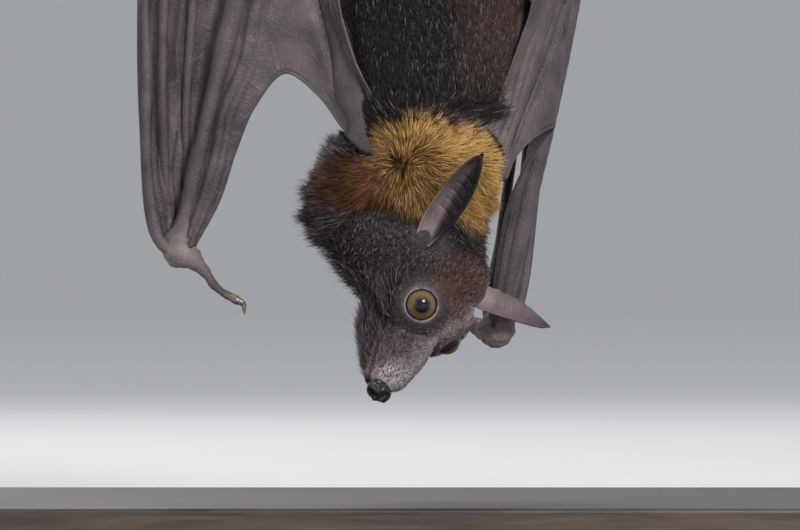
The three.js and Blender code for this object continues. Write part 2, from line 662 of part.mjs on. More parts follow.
for (const [name, side] of Object.entries(SIDES)) {
  const grownHead = headShape(GAP);
  const grownShank = shankShape(side, GAP);
  const grownThigh = thighShape(side, GAP);
  const grownForearm = forearmShape(side, GAP);
  const grownArm = upperArmShape(side, GAP);
  const grownWrist = wristShape(side, GAP);
  const grownFoot = limb([side.ankle.clone().add(vec(0, 0, -6)), side.ankle.clone().add(vec(0, -1, 12))],
    [6, 9], { steps: 2, sides: 10 });

  addNode(`eye_${name}`, eyeShape(side), 'eye');
  addNode(`ear_${name}`, cutAway(earShape(side), grownHead, neckShape(GAP)), 'bareSkin');

  const { shoulder, elbow, wrist, hip, knee, ankle } = side;
  const upperArm = upperArmShape(side).intersect(jointCut(shoulder, elbow, wrist));
  addNode(`upper_arm_${name}`, largestPiece(upperArm), 'backFur');
  const forearm = forearmShape(side).intersect(jointCut(wrist, elbow, shoulder));
  addNode(`forearm_${name}`, cutAway(forearm, grownWrist), 'membrane');
  const thigh = thighShape(side).intersect(jointCut(hip, knee, ankle));
  addNode(`thigh_${name}`, largestPiece(thigh), 'backFur');
  const shank = shankShape(side).intersect(jointCut(ankle, knee, hip));
  addNode(`shank_${name}`, largestPiece(shank), 'backFur');
  addNode(`foot_${name}`, cutAway(footShape(side), grownShank, grownPerch), 'bareSkin');

  addNode(`wrist_${name}`, wristShape(side), 'bareSkin');
  addNode(`thumb_${name}`, cutAway(thumbShape(side), grownWrist, grownForearm), 'bareSkin');
  addNode(`thumb_claw_${name}`, thumbClawShape(side), 'claw');
  for (let finger = 0; finger < side.knuckles.length; finger++) {
    const bone = cutAway(fingerShape(side, finger), grownWrist);
    addNode(`finger_${finger + 2}_${name}`, bone, 'membrane');
  }

  const propatagium = propatagiumShape(side);
  const grownThumb = thumbShape(side, GAP);
  addNode(`propatagium_${name}`,
    cutAway(propatagium, grownArm, grownForearm, grownWrist, grownBody, grownThumb), 'membrane');
  const grownLimbs = [grownArm, grownForearm, grownThigh, grownShank, grownFoot];
  addNode(`plagiopatagium_${name}`,
    cutAway(plagiopatagiumShape(side), grownBody, ...grownLimbs), 'membrane');

  const alongForearm = (share) => wrist.clone().lerp(elbow, share);
  const bones = [[wrist, alongForearm(1 / 3), alongForearm(2 / 3), elbow, side.sheetTop]];
  for (const finger of [3, 2, 1]) bones.push(fingerPath(side, finger));
  const paths = bones.map(pathCurve);
  side.panelStarts.forEach((from, panel) => {
    const clearances = BONE_CLEARANCES.slice(panel, panel + 2);
    const shape = handPanel(paths.slice(panel, panel + 2), clearances, side.panelFold, from);
    addNode(`hand_panel_${panel + 1}_${name}`, cutAway(shape, grownWrist, grownForearm), 'membrane');
  });
}

addNode('perch_branch', perchShape(), 'bark');
addNode('stand_base', baseGeometry(), 'base');
for (const [name, sign] of [['right', -1], ['left', 1]]) {
  const rod = rodGeometry().translate(sign * ROD_SPACING / 2, PERCH_Y, BASE_THICKNESS + GAP);
  addNode(`stand_rod_${name}`, toSolid(rod).subtract(grownPerch), 'steel');
}

export default model;
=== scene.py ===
# A fruit bat (a flying fox) that hangs head-down from a short cut branch on a display stand,
# life size, as a museum shows it. Metres, +Z up, the bat's back towards -Y.
import math

import bmesh
import bpy
import numpy as np
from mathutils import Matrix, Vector
from mathutils.bvhtree import BVHTree


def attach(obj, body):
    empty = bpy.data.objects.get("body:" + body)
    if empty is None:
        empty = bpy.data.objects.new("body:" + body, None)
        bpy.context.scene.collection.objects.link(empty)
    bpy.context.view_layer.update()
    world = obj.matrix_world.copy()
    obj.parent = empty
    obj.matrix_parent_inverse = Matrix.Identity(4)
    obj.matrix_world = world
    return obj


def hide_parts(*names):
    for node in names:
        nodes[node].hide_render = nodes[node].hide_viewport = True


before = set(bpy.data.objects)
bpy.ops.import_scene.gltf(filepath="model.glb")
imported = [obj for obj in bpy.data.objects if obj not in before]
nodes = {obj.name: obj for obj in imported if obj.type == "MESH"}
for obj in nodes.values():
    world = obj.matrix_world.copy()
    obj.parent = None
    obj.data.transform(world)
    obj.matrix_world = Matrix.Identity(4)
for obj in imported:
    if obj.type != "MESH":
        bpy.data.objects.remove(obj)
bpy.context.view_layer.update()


# ---------------------------------------------------------------- skin
# One hide over head, neck, trunk, arms, fingers, legs and feet, with no seam. It lies inside the
# outline of the coat by the length of the fur there, and has lids round the eyes, a mouth line
# and fine folds on the muzzle, wrists and feet.
MM = 0.001


def unit(rows):
    """Each row, or the one vector, scaled to a length of 1."""
    rows = np.asarray(rows, float)
    return rows / np.maximum(np.linalg.norm(rows, axis=-1, keepdims=True), 1e-12)


HEAD_CENTRE = np.array((13, -12, 76)) * MM
FORWARD = unit((-0.517, -0.287, -0.805))
LEFTWARD = unit((0.361, 0.783, -0.511))
CROWNWARD = np.cross(FORWARD, LEFTWARD)


def head_point(forward, up, side):
    """A point in the head's own axes, in millimetres from midway between the eyes."""
    return HEAD_CENTRE + (forward * FORWARD + up * CROWNWARD + side * LEFTWARD) * MM


def head_place(points):
    """How far forward, up and left of the head's centre each point is, in millimetres."""
    away = (points - HEAD_CENTRE) / MM
    return away @ FORWARD, away @ CROWNWARD, away @ LEFTWARD


def head_way(axis):
    """A direction given in the head's own axes: forward, up and left."""
    return unit(axis[0] * FORWARD + axis[1] * CROWNWARD + axis[2] * LEFTWARD)


def above_lips(forward, up):
    """How far above the line where the lips meet a place on the head is, in millimetres."""
    return up - (-13.5 + (forward - 5) * 4.3 / 29)


# Joints and bends of each wing's bones, in millimetres.
WINGS = {
    "right": dict(
        shoulder=(-9, -7, 142), elbow=(-43, 8, 258), wrist=(-82.5, 4, 103),
        finger_roots=[(-88.5, -1, 106), (-90, 5, 108), (-85, 9, 109), (-80, 11.5, 110)],
        finger_bows=[(-93.5, -3, 138), (-95, 7, 150), (-88, 4, 158), (-79.5, 10, 156)],
        knuckles=[(-93.5, -2, 170), (-95, 7, 214), (-86.5, 1, 212), (-76, 9, 207)],
        finger_bends=[(-94, -1, 186), (-89, 20, 301), (-79, 15, 296), (-69, 20, 289)],
        fold_shift=(0, 6.5, 0),
        ankle=(-9, -7, 392),
    ),
    "left": dict(
        shoulder=(36, -6, 131), elbow=(69, 36, 233), wrist=(36, 31, 72),
        finger_roots=[(33, 39.5, 80), (37, 40, 80.5), (41, 38.6, 81), (44, 35.5, 82)],
        finger_bows=[(38, 57.5, 108), (46, 57.5, 124), (46.5, 51, 126), (51, 44.5, 126)],
        knuckles=[(42.5, 61.5, 140), (57, 61, 178), (52, 53, 179), (57.5, 46, 178)],
        finger_bends=[(44.5, 62.5, 155), (62, 60, 264), (62, 53, 261), (66, 46, 258)],
        fold_shift=(-6, 0.5, 0),
        ankle=(29, -7, 392),
    ),
}


def curve_through(points, shares):
    """Points at these shares of the way along a smooth curve through the given ones."""
    points = np.asarray(points, float)
    ends = np.vstack([2 * points[0] - points[1], points, 2 * points[-1] - points[-2]])
    place = np.asarray(shares, float) * (len(points) - 1)
    cell = np.clip(np.floor(place).astype(int), 0, len(points) - 2)
    t = (place - cell)[:, None]
    p0, p1, p2, p3 = (ends[cell + k] for k in range(4))
    d0, d1, d2 = (np.maximum(np.linalg.norm(b - a, axis=1, keepdims=True) ** 0.5, 1e-6)
                  for a, b in ((p0, p1), (p1, p2), (p2, p3)))
    out = ((p1 - p0) / d0 - (p2 - p0) / (d0 + d1) + (p2 - p1) / d1) * d1
    into = ((p2 - p1) / d1 - (p3 - p1) / (d1 + d2) + (p3 - p2) / d2) * d1
    return (p1 + out * t + (3 * (p2 - p1) - 2 * out - into) * t ** 2
            + (2 * (p1 - p2) + out + into) * t ** 3)


def finger_path(wing, finger):
    """Palm bone and first finger bone, from the wrist up beside the forearm, in millimetres."""
    knuckle, bend = (np.array(wing[k][finger], float) for k in ("knuckles", "finger_bends"))
    middle = knuckle + 0.6 * (bend - knuckle)
    return [wing["finger_roots"][finger], wing["finger_bows"][finger], knuckle, middle, bend]


def finger_line(wing, finger):
    """The whole finger: the long ones fold their last bone back down behind the hand."""
    path = finger_path(wing, finger)
    knuckle, bend = path[2], path[4]
    if finger == 0:
        return path + [bend + 0.7 * (bend - knuckle)]
    shift = np.array(wing["fold_shift"], float)
    return path + [bend + 0.8 * shift + (0, 0, -3), knuckle + shift + (0, 0, 14)]


def shaped_mesh(form, *modifiers):
    """The mesh that a curve or a mesh becomes under these modifiers, each a kind and its settings."""
    holder = bpy.data.objects.new("holder", form)
    bpy.context.scene.collection.objects.link(holder)
    for kind, settings in modifiers:
        modifier = holder.modifiers.new(kind, kind)
        for key, value in settings.items():
            setattr(modifier, key, value)
    bpy.context.view_layer.update()
    shaped = holder.evaluated_get(bpy.context.evaluated_depsgraph_get())
    mesh = bpy.data.meshes.new_from_object(shaped)
    bpy.data.objects.remove(holder)
    return mesh


def mesh_from(form, name):
    """Turns a bmesh into a mesh, and frees it."""
    mesh = bpy.data.meshes.new(name)
    form.to_mesh(mesh)
    form.free()
    return mesh


def join_in(form, mesh):
    """Adds a mesh to a bmesh, and removes it."""
    form.from_mesh(mesh)
    bpy.data.meshes.remove(mesh)


def lathed(outline, centre, axis, steps):
    """A bmesh made as on a lathe: the outline's points, joined in a row, go once round the axis."""
    form = bmesh.new()
    row = [form.verts.new(point) for point in outline]
    for pair in zip(row[:-1], row[1:]):
        form.edges.new(pair)
    bmesh.ops.spin(form, geom=form.verts[:] + form.edges[:], cent=centre, axis=axis,
                   angle=2 * math.pi, steps=steps, use_merge=True)
    bmesh.ops.remove_doubles(form, verts=form.verts, dist=1e-6)
    bmesh.ops.recalc_face_normals(form, faces=form.faces)
    return form


def tube(points, radii, sides=10, samples=None):
    """A round tube mesh along a smooth curve, its radius drawn from a short list. Millimetres."""
    samples = samples or 8 * len(points)
    shares = np.linspace(0, 1, samples)
    line = curve_through(points, shares) * MM
    widths = np.interp(shares, np.linspace(0, 1, len(radii)), radii) * MM
    curve = bpy.data.curves.new("tube", "CURVE")
    curve.dimensions = "3D"
    curve.bevel_depth = 1.0
    curve.bevel_resolution = sides // 2 - 2
    curve.use_fill_caps = True
    spline = curve.splines.new("POLY")
    spline.points.add(samples - 1)
    for point, place, width in zip(spline.points, line, widths):
        point.co = (*place, 1)
        point.radius = width
    mesh = shaped_mesh(curve)
    bpy.data.curves.remove(curve)
    return mesh


def add_piece(name, mesh, *finishes):
    """Adds a mesh with its materials to the scene as a piece that belongs to the body."""
    mesh.name = name
    for finish in finishes:
        mesh.materials.append(finish)
    piece = bpy.data.objects.new(name, mesh)
    bpy.context.scene.collection.objects.link(piece)
    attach(piece, "root")
    return piece


def corners_of(mesh):
    """The places of a mesh's points, a row each, in metres."""
    places = np.empty(len(mesh.vertices) * 3)
    mesh.vertices.foreach_get("co", places)
    return places.reshape(-1, 3)


def set_corners(mesh, places):
    """Moves a mesh's points to these places."""
    mesh.vertices.foreach_set("co", np.ascontiguousarray(places).ravel())
    mesh.update()


def normals_of(mesh):
    """The direction that a mesh faces at each of its points."""
    normals = np.empty(len(mesh.vertices) * 3)
    mesh.vertex_normals.foreach_get("vector", normals)
    return normals.reshape(-1, 3)


def edges_of(mesh):
    """The two points of each of a mesh's edges."""
    pairs = np.empty(len(mesh.edges) * 2, int)
    mesh.edges.foreach_get("vertices", pairs)
    return pairs.reshape(-1, 2)


def soften(values, edges, weight, rounds):
    """Draws each point's values towards the mean of its neighbours'."""
    count = len(values)
    first, second = edges.T
    degree = np.bincount(first, minlength=count) + np.bincount(second, minlength=count)
    degree = np.maximum(degree, 1)
    for _ in range(rounds):
        total = np.stack([np.bincount(first, values[second, k], count)
                          + np.bincount(second, values[first, k], count)
                          for k in range(values.shape[1])], 1)
        values = values + weight * (total / degree[:, None] - values)
    return values


def rise(value, low, high):
    """0 below low, 1 above high, and a smooth ramp between them."""
    t = np.clip((value - low) / (high - low), 0, 1)
    return t * t * (3 - 2 * t)


def bell(value, width, power=2):
    """1 where value is 0, and less the further it is from 0, over about this width."""
    return np.exp(-(value / width) ** power)


def gap_to(points, place):
    """How far each point is from a place, in millimetres."""
    return np.linalg.norm(points - place, axis=1) / MM


def about_axis(points, centre, axis):
    """How far each point is out along an axis, and off that axis, in millimetres."""
    away = (points - centre) / MM
    out = away @ axis
    return out, np.linalg.norm(away - out[:, None] * axis, axis=1)


def shifted(points, ways, distances):
    """The points, each moved this many millimetres in its own direction."""
    return points + ways * (distances * MM)[:, None]


def drift(points, size, seed):
    """Smooth random values from -1 to 1 that change over about size millimetres."""
    cell = points / (size * MM) + 1000
    base = np.floor(cell).astype(np.int64)
    part = cell - base
    part = part * part * (3 - 2 * part)
    total = np.zeros(len(points))
    for corner in np.ndindex(2, 2, 2):
        x, y, z = (base + corner).T
        mixed = (x * 73856093 ^ y * 19349663 ^ z * 83492791 ^ seed * 40503) & 0xffffffff
        mixed = ((mixed ^ (mixed >> 15)) * 224682251) & 0xffffffff
        mixed = ((mixed ^ (mixed >> 13)) * 326648991) & 0xffffffff
        value = ((mixed >> 9) & 0xffff) / 32767.5 - 1
        total += value * np.prod(np.where(corner, part, 1 - part), axis=1)
    return total


def drift_way(points, size, seed):
    """A smooth random direction at each point."""
    return np.stack([drift(points, size, seed + k) for k in range(3)], 1)


# Each node is grown by GROWN, which shuts the gaps between them, and all are cast as one skin in
# cells of CAST_CELL.
GROWN = 0.25 * MM
CAST_CELL = 1.25 * MM

# Coat depth over the skin in millimetres, how furred it is, and how much its modelled facets are
# softened.
HIDE = {
    "head": (2.4, 1.0, 1.0), "lower_jaw": (1.4, 0.8, 0.6), "neck": (6.5, 1.0, 1.0),
    "thorax": (3.6, 1.0, 1.0), "abdomen": (3.6, 1.0, 1.0), "upper_arm": (1.0, 0.25, 0.5),
    "forearm": (0.1, 0.03, 0.5), "wrist": (0.1, 0.02, 0.8), "thumb": (0.0, 0.0, 0.0),
    "thigh": (3.0, 0.9, 0.7), "shank": (0.9, 0.35, 0.4), "foot": (0.0, 0.03, 0.0),
}
flesh = ["head", "lower_jaw", "neck", "thorax", "abdomen"] + [
    f"{part}_{side}" for side in WINGS
    for part in ("upper_arm", "forearm", "wrist", "thumb", "thigh", "shank", "foot")]

body = bmesh.new()
node_corners, node_faces, face_part = [], [], []
for name in flesh:
    part = bmesh.new()
    part.from_mesh(nodes[name].data)
    bmesh.ops.remove_doubles(part, verts=part.verts, dist=1e-6)
    base = len(node_corners)
    node_corners += [v.co.copy() for v in part.verts]
    node_faces += [[base + v.index for v in face.verts] for face in part.faces]
    face_part += [name.replace("_right", "").replace("_left", "")] * len(part.faces)
    part.normal_update()
    for vert in part.verts:
        vert.co += vert.normal * GROWN
    join_in(body, mesh_from(part, "grown"))
hide = shaped_mesh(mesh_from(body, "body"), ("REMESH", {"mode": "VOXEL", "voxel_size": CAST_CELL}))
nearest = BVHTree.FromPolygons(node_corners, node_faces)


def hide_values(mesh):
    """Coat depth, furriness and softening at each of the mesh's points, from the part it is on."""
    values = np.array([HIDE[face_part[nearest.find_nearest(v.co)[2]]] for v in mesh.vertices])
    return soften(values, edges_of(mesh), 0.6, 25)


edges = edges_of(hide)
places = corners_of(hide)
values = hide_values(hide)
for step in (0.55, -0.57) * 6:
    places = soften(places, edges, step, 1)
places = soften(places, edges, 0.5 * values[:, 2:3] ** 2, 45)
forward, up, side = head_place(places)
nape = rise(forward, -48, -34) * rise(-forward, 8, 18) * values[:, 2] ** 2
places = soften(places, edges, 0.5 * nape[:, None], 160)
set_corners(hide, places)

# The face is cut finer than the rest, for its folds.
fine = bmesh.new()
fine.from_mesh(hide)
forward, up, side = head_place(places)
in_face = (forward > -14) & (forward < 40) & (np.hypot(side, up + 10) < 27)
bmesh.ops.subdivide_edges(
    fine, edges=[e for e in fine.edges if all(in_face[v.index] for v in e.verts)],
    cuts=1, use_grid_fill=True)
bmesh.ops.triangulate(fine, faces=[f for f in fine.faces if len(f.verts) > 4])
fine.to_mesh(hide)
fine.free()

values = hide_values(hide)
places = soften(corners_of(hide), edges_of(hide), 0.5, 2)
set_corners(hide, places)
normals = normals_of(hide)
forward, up, side = head_place(places)
muzzle = rise(forward, 2, 16)
on_head = rise(forward, -34, -24)
depth = values[:, 0] * (1 - muzzle) + 0.45 * muzzle
depth = np.where(on_head * muzzle > 0, depth, values[:, 0])
places = shifted(places, -normals, depth)

# Eyes bulge, and the skin rises to them in a low mound that ends at the lids.
EYE_RADIUS = 6.6
EYES = {}
GAZES = {}
for name, sign, turned in (("right", -1, 0), ("left", 1, -0.30)):
    gaze = 0.328 * FORWARD + 0.634 * CROWNWARD + 0.70 * sign * LEFTWARD
    GAZES[name] = unit(gaze - (0, 0.8 * turned, 0))
    EYES[name] = (head_point(-1.2, -2.2, 12.1 * sign), unit(gaze + (0, turned, 0)))


def about_eye(points, name):
    """How far each point is out along an eye's axis, and off that axis, in millimetres."""
    return about_axis(points, *EYES[name])


for name, (centre, axis) in EYES.items():
    out, off = about_axis(places, centre, axis)
    near = (out > -9) & (off < 15)
    mound = 4.0 - 0.26 * np.maximum(off - 5.6, 0) ** 1.5
    raised = np.maximum(out, mound)
    raised = out + (raised - out) * rise(15 - off, 0, 5)
    raised = np.where(off < 5.9, np.minimum(out, -1.0), raised)
    places = np.where(near[:, None], shifted(places, axis, raised - out), places)

# Each ear rises from a fleshy root. The wrists are swollen, and the wing sheets run on over the
# shoulders as bare skin with a thick edge.
EAR_ROOTS = {
    "right": ((-26, -8.5, -21), (-0.66, 0.43, -0.62)),
    "left": ((-22, -2, 16), (-0.24, 0.39, 0.89)),
}
ROOT_HEIGHTS = {"right": 3.0, "left": 5.5}
for name, (base, axis) in EAR_ROOTS.items():
    leaning = head_way(axis)
    along, off_axis = about_axis(places, head_point(*base), leaning)
    root = ROOT_HEIGHTS[name] * bell(off_axis, 9.5) * rise(along, -12, -3)
    places = shifted(places, leaning, root)
for wing in WINGS.values():
    to_wrist = gap_to(places, np.array(wing["wrist"]) * MM)
    folds = 0.7 * np.abs(drift(places, 3.6, 8)) + 0.35 * np.abs(drift(places, 1.7, 9))
    swelling = bell(to_wrist, 12, 4)
    places = shifted(places, normals, (2.3 - folds * 2) * swelling)

# The edge of the bare shoulders, in millimetres: height against width, or width against height.
BARE_EDGE_RIGHT = ([-34, -27.4, -23.4, -18.7, -13.4, -8.1], [165.8, 159.1, 149.8, 143.8, 138.9, 138.1])
BARE_LINE_RIGHT = ([136, 138, 147, 160.5, 173.8, 190], [-9, -8.1, -10.7, -13.4, -16.7, -20])
BARE_LINE_LEFT = ([105, 118, 123, 127.2, 133.8, 140.5, 153.8, 173.8, 196],
                  [46, 43, 39, 35.5, 35.9, 37.9, 39.2, 41.9, 44])


def off_shoulder(points):
    """How far each point is, in millimetres, from where the wing sheets run on over the body."""
    x, y, z = points.T / MM
    right = np.maximum(x - np.interp(z, *BARE_LINE_RIGHT), np.interp(x, *BARE_EDGE_RIGHT) - z)
    left = np.maximum(np.interp(z, *BARE_LINE_LEFT) - x, 108 - z)
    off = np.minimum(right + 100 * rise(z, 185, 200), left + 100 * rise(z, 190, 205))
    return off + 100 * rise(y, 14, 22)


x, y, z = places.T / MM
covered = rise(-off_shoulder(places), -0.6, 1.0) * rise(x, -42, -34) * rise(-z, -182, -156)
places = shifted(places, normals, covered * 2.4 * rise(-x, -34, -26))

# The left upper arm is drawn in where it leaves the trunk, behind the edge of the front sheet.
shoulder, elbow = (np.array(WINGS["left"][joint]) * MM for joint in ("shoulder", "elbow"))
along_arm = (places - shoulder) @ (elbow - shoulder) / ((elbow - shoulder) ** 2).sum()
along_arm = np.clip(along_arm, 0, 1)
on_bone = shoulder + along_arm[:, None] * (elbow - shoulder)
off_bone = gap_to(places, on_bone)
drawn_in = np.interp(along_arm, (0, 0.3, 0.7), (0.5, 0.35, 0))
drawn_in = drawn_in * rise(-off_bone, -15, -10) * rise(x, 34, 40)
places = places + (on_bone - places) * drawn_in[:, None]

# The mouth runs back under the nose; the upper lip hangs a little over the lower one.
forward, up, side = head_place(places)
off_lip = above_lips(forward, up)
in_mouth = rise(forward, 4, 9) * on_head
groove = 1.1 * bell(off_lip, 0.75) - 0.35 * bell(off_lip - 1.8, 1.2)
places = shifted(places, -normals, groove * in_mouth)
crease = drift(places, 2.2, 3) * 0.18 + drift(places, 0.9, 4) * 0.08
places = shifted(places, normals, crease * muzzle * on_head)
set_corners(hide, places)

skin_parts = bmesh.new()
skin_parts.from_mesh(hide)
# Lids: a rounded rim round each eye, from just inside the ball's surface out to the skin.
# The rim's outline: how far off the eye's axis, and how far out along it.
LID_PROFILE = [(5.6, 3.0), (5.66, 3.55), (5.78, 3.95), (6.05, 4.2), (6.45, 4.22), (6.95, 3.95),
               (7.6, 3.5), (8.5, 2.7), (9.4, 1.4), (10.2, -1.0), (10.6, -4.0)]
for name, (centre, axis) in EYES.items():
    across = unit(np.cross(axis, (0, 0, 1)))
    rim = lathed([Vector(centre + (off * across + out * axis) * MM) for off, out in LID_PROFILE],
                 Vector(centre), Vector(axis), 72)
    if sum(f.normal.dot(f.calc_center_median() - Vector(centre)) for f in rim.faces) < 0:
        bmesh.ops.reverse_faces(rim, faces=rim.faces)
    lid = mesh_from(rim, "lid")
    spots = corners_of(lid)
    out, off = about_eye(spots, name)
    pucker = drift(spots, 1.1, 7) * 0.14 * rise(off, 5.8, 6.6)
    set_corners(lid, shifted(spots, axis, pucker))
    join_in(skin_parts, lid)

FINGER_RADII = [2.1, 1.8, 2.1, 1.7, 1.6, 1.3, 0.8]
for wing in WINGS.values():
    for finger in range(4):
        line = finger_line(wing, finger)
        join_in(skin_parts, tube([wing["wrist"], *line], FINGER_RADII[:1] + FINGER_RADII[:len(line)]))
skin_mesh = mesh_from(skin_parts, "skin")
skin_mesh.shade_smooth()
skin = add_piece("skin", skin_mesh)
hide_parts(*flesh, *[f"finger_{n}_{side}" for side in WINGS for n in (2, 3, 4, 5)])

# Markings: a black back that turns brown to the left, a gold mantle round the nape that is dark at
# its whorl and reddish on the right of the neck, and a dark head with a paler muzzle.
NEAR_BLACK = (0.018, 0.014, 0.015)
BACK_BROWN = (0.075, 0.045, 0.036)
BELLY_BROWN = (0.13, 0.062, 0.030)
GOLD = (0.50, 0.270, 0.075)
WHORL_BROWN = (0.13, 0.052, 0.016)
RED_BROWN = (0.052, 0.019, 0.013)
DARK_RED = (0.023, 0.012, 0.013)
THROAT_BROWN = (0.27, 0.12, 0.035)
HEAD_BLACK = (0.042, 0.032, 0.032)
CROWN_RED = (0.110, 0.054, 0.045)
MUZZLE_GREY = (0.17, 0.135, 0.14)
STRAW = (0.86, 0.64, 0.28)
FROST = (0.50, 0.45, 0.44)
AMBER_TIP = (0.34, 0.155, 0.070)
WARM_BROWN = (0.19, 0.078, 0.022)
WHORL = np.array((0.5, -28, 139.5)) * MM

# Where the gold starts, as width against height, and where the dark head starts, as height against
# width, in millimetres.
GOLD_FROM = ([112, 116, 119, 123, 128.5, 134, 139, 143, 148], [13, 9, 3, 0, -2, -5, -8, -9.5, -10])
DARK_FROM = ([-34, -20, 0, 12, 20, 28, 34], [113, 117.5, 118.5, 118.5, 117, 112, 107])


def blend(first, second, share):
    """Colours this share of the way from the first to the second."""
    first, second = np.atleast_2d(first), np.atleast_2d(second)
    return first + (second - first) * np.asarray(share)[:, None]


def layered(base, *layers):
    """The base colour under these layers, each a colour and its share at each point."""
    for colour, share in layers:
        base = blend(base, colour, share)
    return base


def muzzle_ridge(points):
    """1 along the bridge of the nose, and less down the muzzle's sides."""
    forward, up, side = head_place(points)
    return bell(side - 1, 5.5) * rise(up, -13, -5)


def brow(points):
    """1 along the frosted ridge that runs from the left ear's root down between the eyes."""
    forward, up, side = head_place(points)
    ridge = np.interp(forward, (-26, -18, -8, 1, 8), (17, 14.3, 9, 3, 1.8))
    reach = rise(forward, -32, -25) * rise(-forward, -12, -6)
    return bell(side - ridge, 3.2) * rise(up, -9, -3) * reach


def coat_colours(points):
    """The coat's colour at each point, the colour of its tips, and how many tips have it."""
    x, y, z = points.T / MM
    forward, up, side = head_place(points)
    wander = 3.2 * drift(points, 7, 11) + 1.6 * drift(points, 2.4, 12)
    trunk = layered(NEAR_BLACK, (BACK_BROWN, rise(x + wander, 14, 34) * rise(z, 150, 178)),
                    (BELLY_BROWN, rise(y + wander, 6, 22) * 0.8))
    golden = x - np.interp(z, *GOLD_FROM) + 0.9 * wander
    to_whorl = np.linalg.norm((points - WHORL) * (0.65, 0.8, 1), axis=1) / MM + 1.6 * wander
    warm = 0.7 * rise(-z - 0.5 * x + 2 * wander, -147, -132) * rise(-x, -24, -8)
    gold = layered(RED_BROWN, (GOLD, rise(golden, -5, 4)),
                   (DARK_RED, rise(-x + 1.4 * wander, 12, 30) * 0.9),
                   (WARM_BROWN, warm * rise(x + wander, -19, -7)),
                   (WHORL_BROWN, 0.85 * rise(-to_whorl, -17, -5)),
                   (THROAT_BROWN, rise(y + wander, 15, 28)))
    ridge = muzzle_ridge(points) * rise(forward + wander, -10, 12)
    crown = rise(up + wander, -6, 3) * rise(forward, -40, -24) * rise(-forward, -5, 8)
    head = layered(HEAD_BLACK, (CROWN_RED, crown),
                   (MUZZLE_GREY, np.clip(ridge + 0.25 * rise(forward, 10, 24), 0, 1)),
                   (FROST, 0.38 * brow(points)))
    top = 149.5 - 0.021 * np.clip(x - 10, -24, 30) ** 2
    mantle = rise(top + 0.6 * wander - z, -2.5, 2.5)
    over = rise(np.interp(x, *DARK_FROM) - z + 0.7 * wander, -2.5, 2.5)
    colours = layered(trunk, (gold, mantle), (head, over))
    in_gold = mantle * (1 - over) * rise(golden, -8, 3)
    in_red = mantle * (1 - over) * rise(-golden, -3, 6) * rise(x, -34, -22)
    tips = layered(FROST, (STRAW, in_gold), (AMBER_TIP, in_red))
    outer = 0.45 + 0.55 * rise(z + 0.8 * abs(x - 8), 140, 158)
    share = 0.05 + 0.80 * in_gold * rise(to_whorl, 5, 14) * outer + 0.30 * in_red
    share += over * (0.14 + 0.45 * ridge + 0.9 * brow(points))
    return colours, tips, share


# Bare skin: grey on the wings, brown-black on the feet, dark at the lips, and pale on the lids.
# The muzzle is pinkish where painted light falls on its ridge, painted dark as shade down its
# sides, and has a pale painted sheen beside the nose; the wrists are painted pale as a pool of
# light.
WING_GREY = (0.070, 0.056, 0.059)
FOOT_BROWN = (0.036, 0.027, 0.026)
# The muzzle's three colours are painted light and shade: skin where lit, skin in shade, and a pale
# painted sheen by the nose.
MUZZLE_LIT_SKIN = (0.46, 0.35, 0.37)
MUZZLE_SHADE = (0.060, 0.044, 0.047)
MUZZLE_SHEEN = (0.66, 0.62, 0.68)
# The wrists' pale grey is painted light, a pool of it on each wrist.
WRIST_PAINTED_LIGHT = (0.36, 0.29, 0.28)
LIP_BROWN = (0.060, 0.022, 0.020)
LID_PALE = (0.30, 0.27, 0.30)

hide_count = len(hide.vertices)
places = corners_of(skin_mesh)
forward, up, side = head_place(places)
furry = np.zeros(len(places))
furry[:hide_count] = values[:, 1]
under_coat = coat_colours(places)[0] * 0.5
at_muzzle = rise(forward + 3 * drift(places, 5, 13), -8, 12) * (np.hypot(side, up + 9) < 24)
# Round each wrist the skin is painted paler, as a pool of light.
at_wrist = sum(bell(gap_to(places, np.array(wing["wrist"]) * MM), 9) for wing in WINGS.values())
mottle = 0.25 * drift(places, 3.0, 15) + 0.15 * drift(places, 1.1, 16)
# Painted light on the muzzle: lit along its ridge and towards the nose, shaded down its sides, with a
# pale painted sheen beside the nose.
lit = np.clip(0.85 * muzzle_ridge(places) + 0.45 * rise(forward, 20, 27) + mottle, 0, 1)
sheen_by_nose = rise(forward, 19, 25) * bell(side + 4, 6) * rise(up, -8, -2)
muzzle_light_and_shade = layered(MUZZLE_SHADE, (MUZZLE_LIT_SKIN, lit),
                (MUZZLE_SHEEN, np.clip(sheen_by_nose * (0.75 + mottle), 0, 1)))
furry = furry * rise(off_shoulder(places), -0.6, 0.6)
off_lip = above_lips(forward, up)
lips = 0.7 * bell(off_lip, 1.2) * rise(forward, 4, 10) * at_muzzle
lips = np.maximum(lips, rise(forward, 27, 31) * rise(-up, 8, 10) * at_muzzle)
paint = layered(WING_GREY, (FOOT_BROWN, rise(places[:, 2] / MM, 372, 386)),
                (WRIST_PAINTED_LIGHT, np.clip(at_wrist, 0, 1) * 0.8), (muzzle_light_and_shade, at_muzzle),
                (under_coat, furry * (1 - 0.75 * at_muzzle)), (LIP_BROWN, lips))
for name in EYES:
    out, off = about_eye(places, name)
    margin = (out > 1) * bell(off - 6.1, 0.27) * (0.7 + 0.8 * drift(places, 2.0, 14))
    # Near black is painted as shade on the lids' inner edge, where they meet the eye, and a dark ring
    # just outside the lids is painted shade, as of a groove.
    paint = layered(paint, (LID_PALE, np.clip(margin, 0, 1)),
                    (NEAR_BLACK, (out > 0) * rise(-off, -5.85, -5.7) * (off < 6) * 0.9),
                    (HEAD_BLACK, (out > 0) * (off > 7) * bell(off - 8.2, 1.2) * 0.8))


def add_paint(mesh, colours):
    """Gives a mesh a colour at each point, in the attribute that the materials read."""
    layer = mesh.color_attributes.new(name="coat", type="FLOAT_COLOR", domain="POINT")
    layer.data.foreach_set("color", np.hstack([colours, np.ones((len(colours), 1))]).ravel())


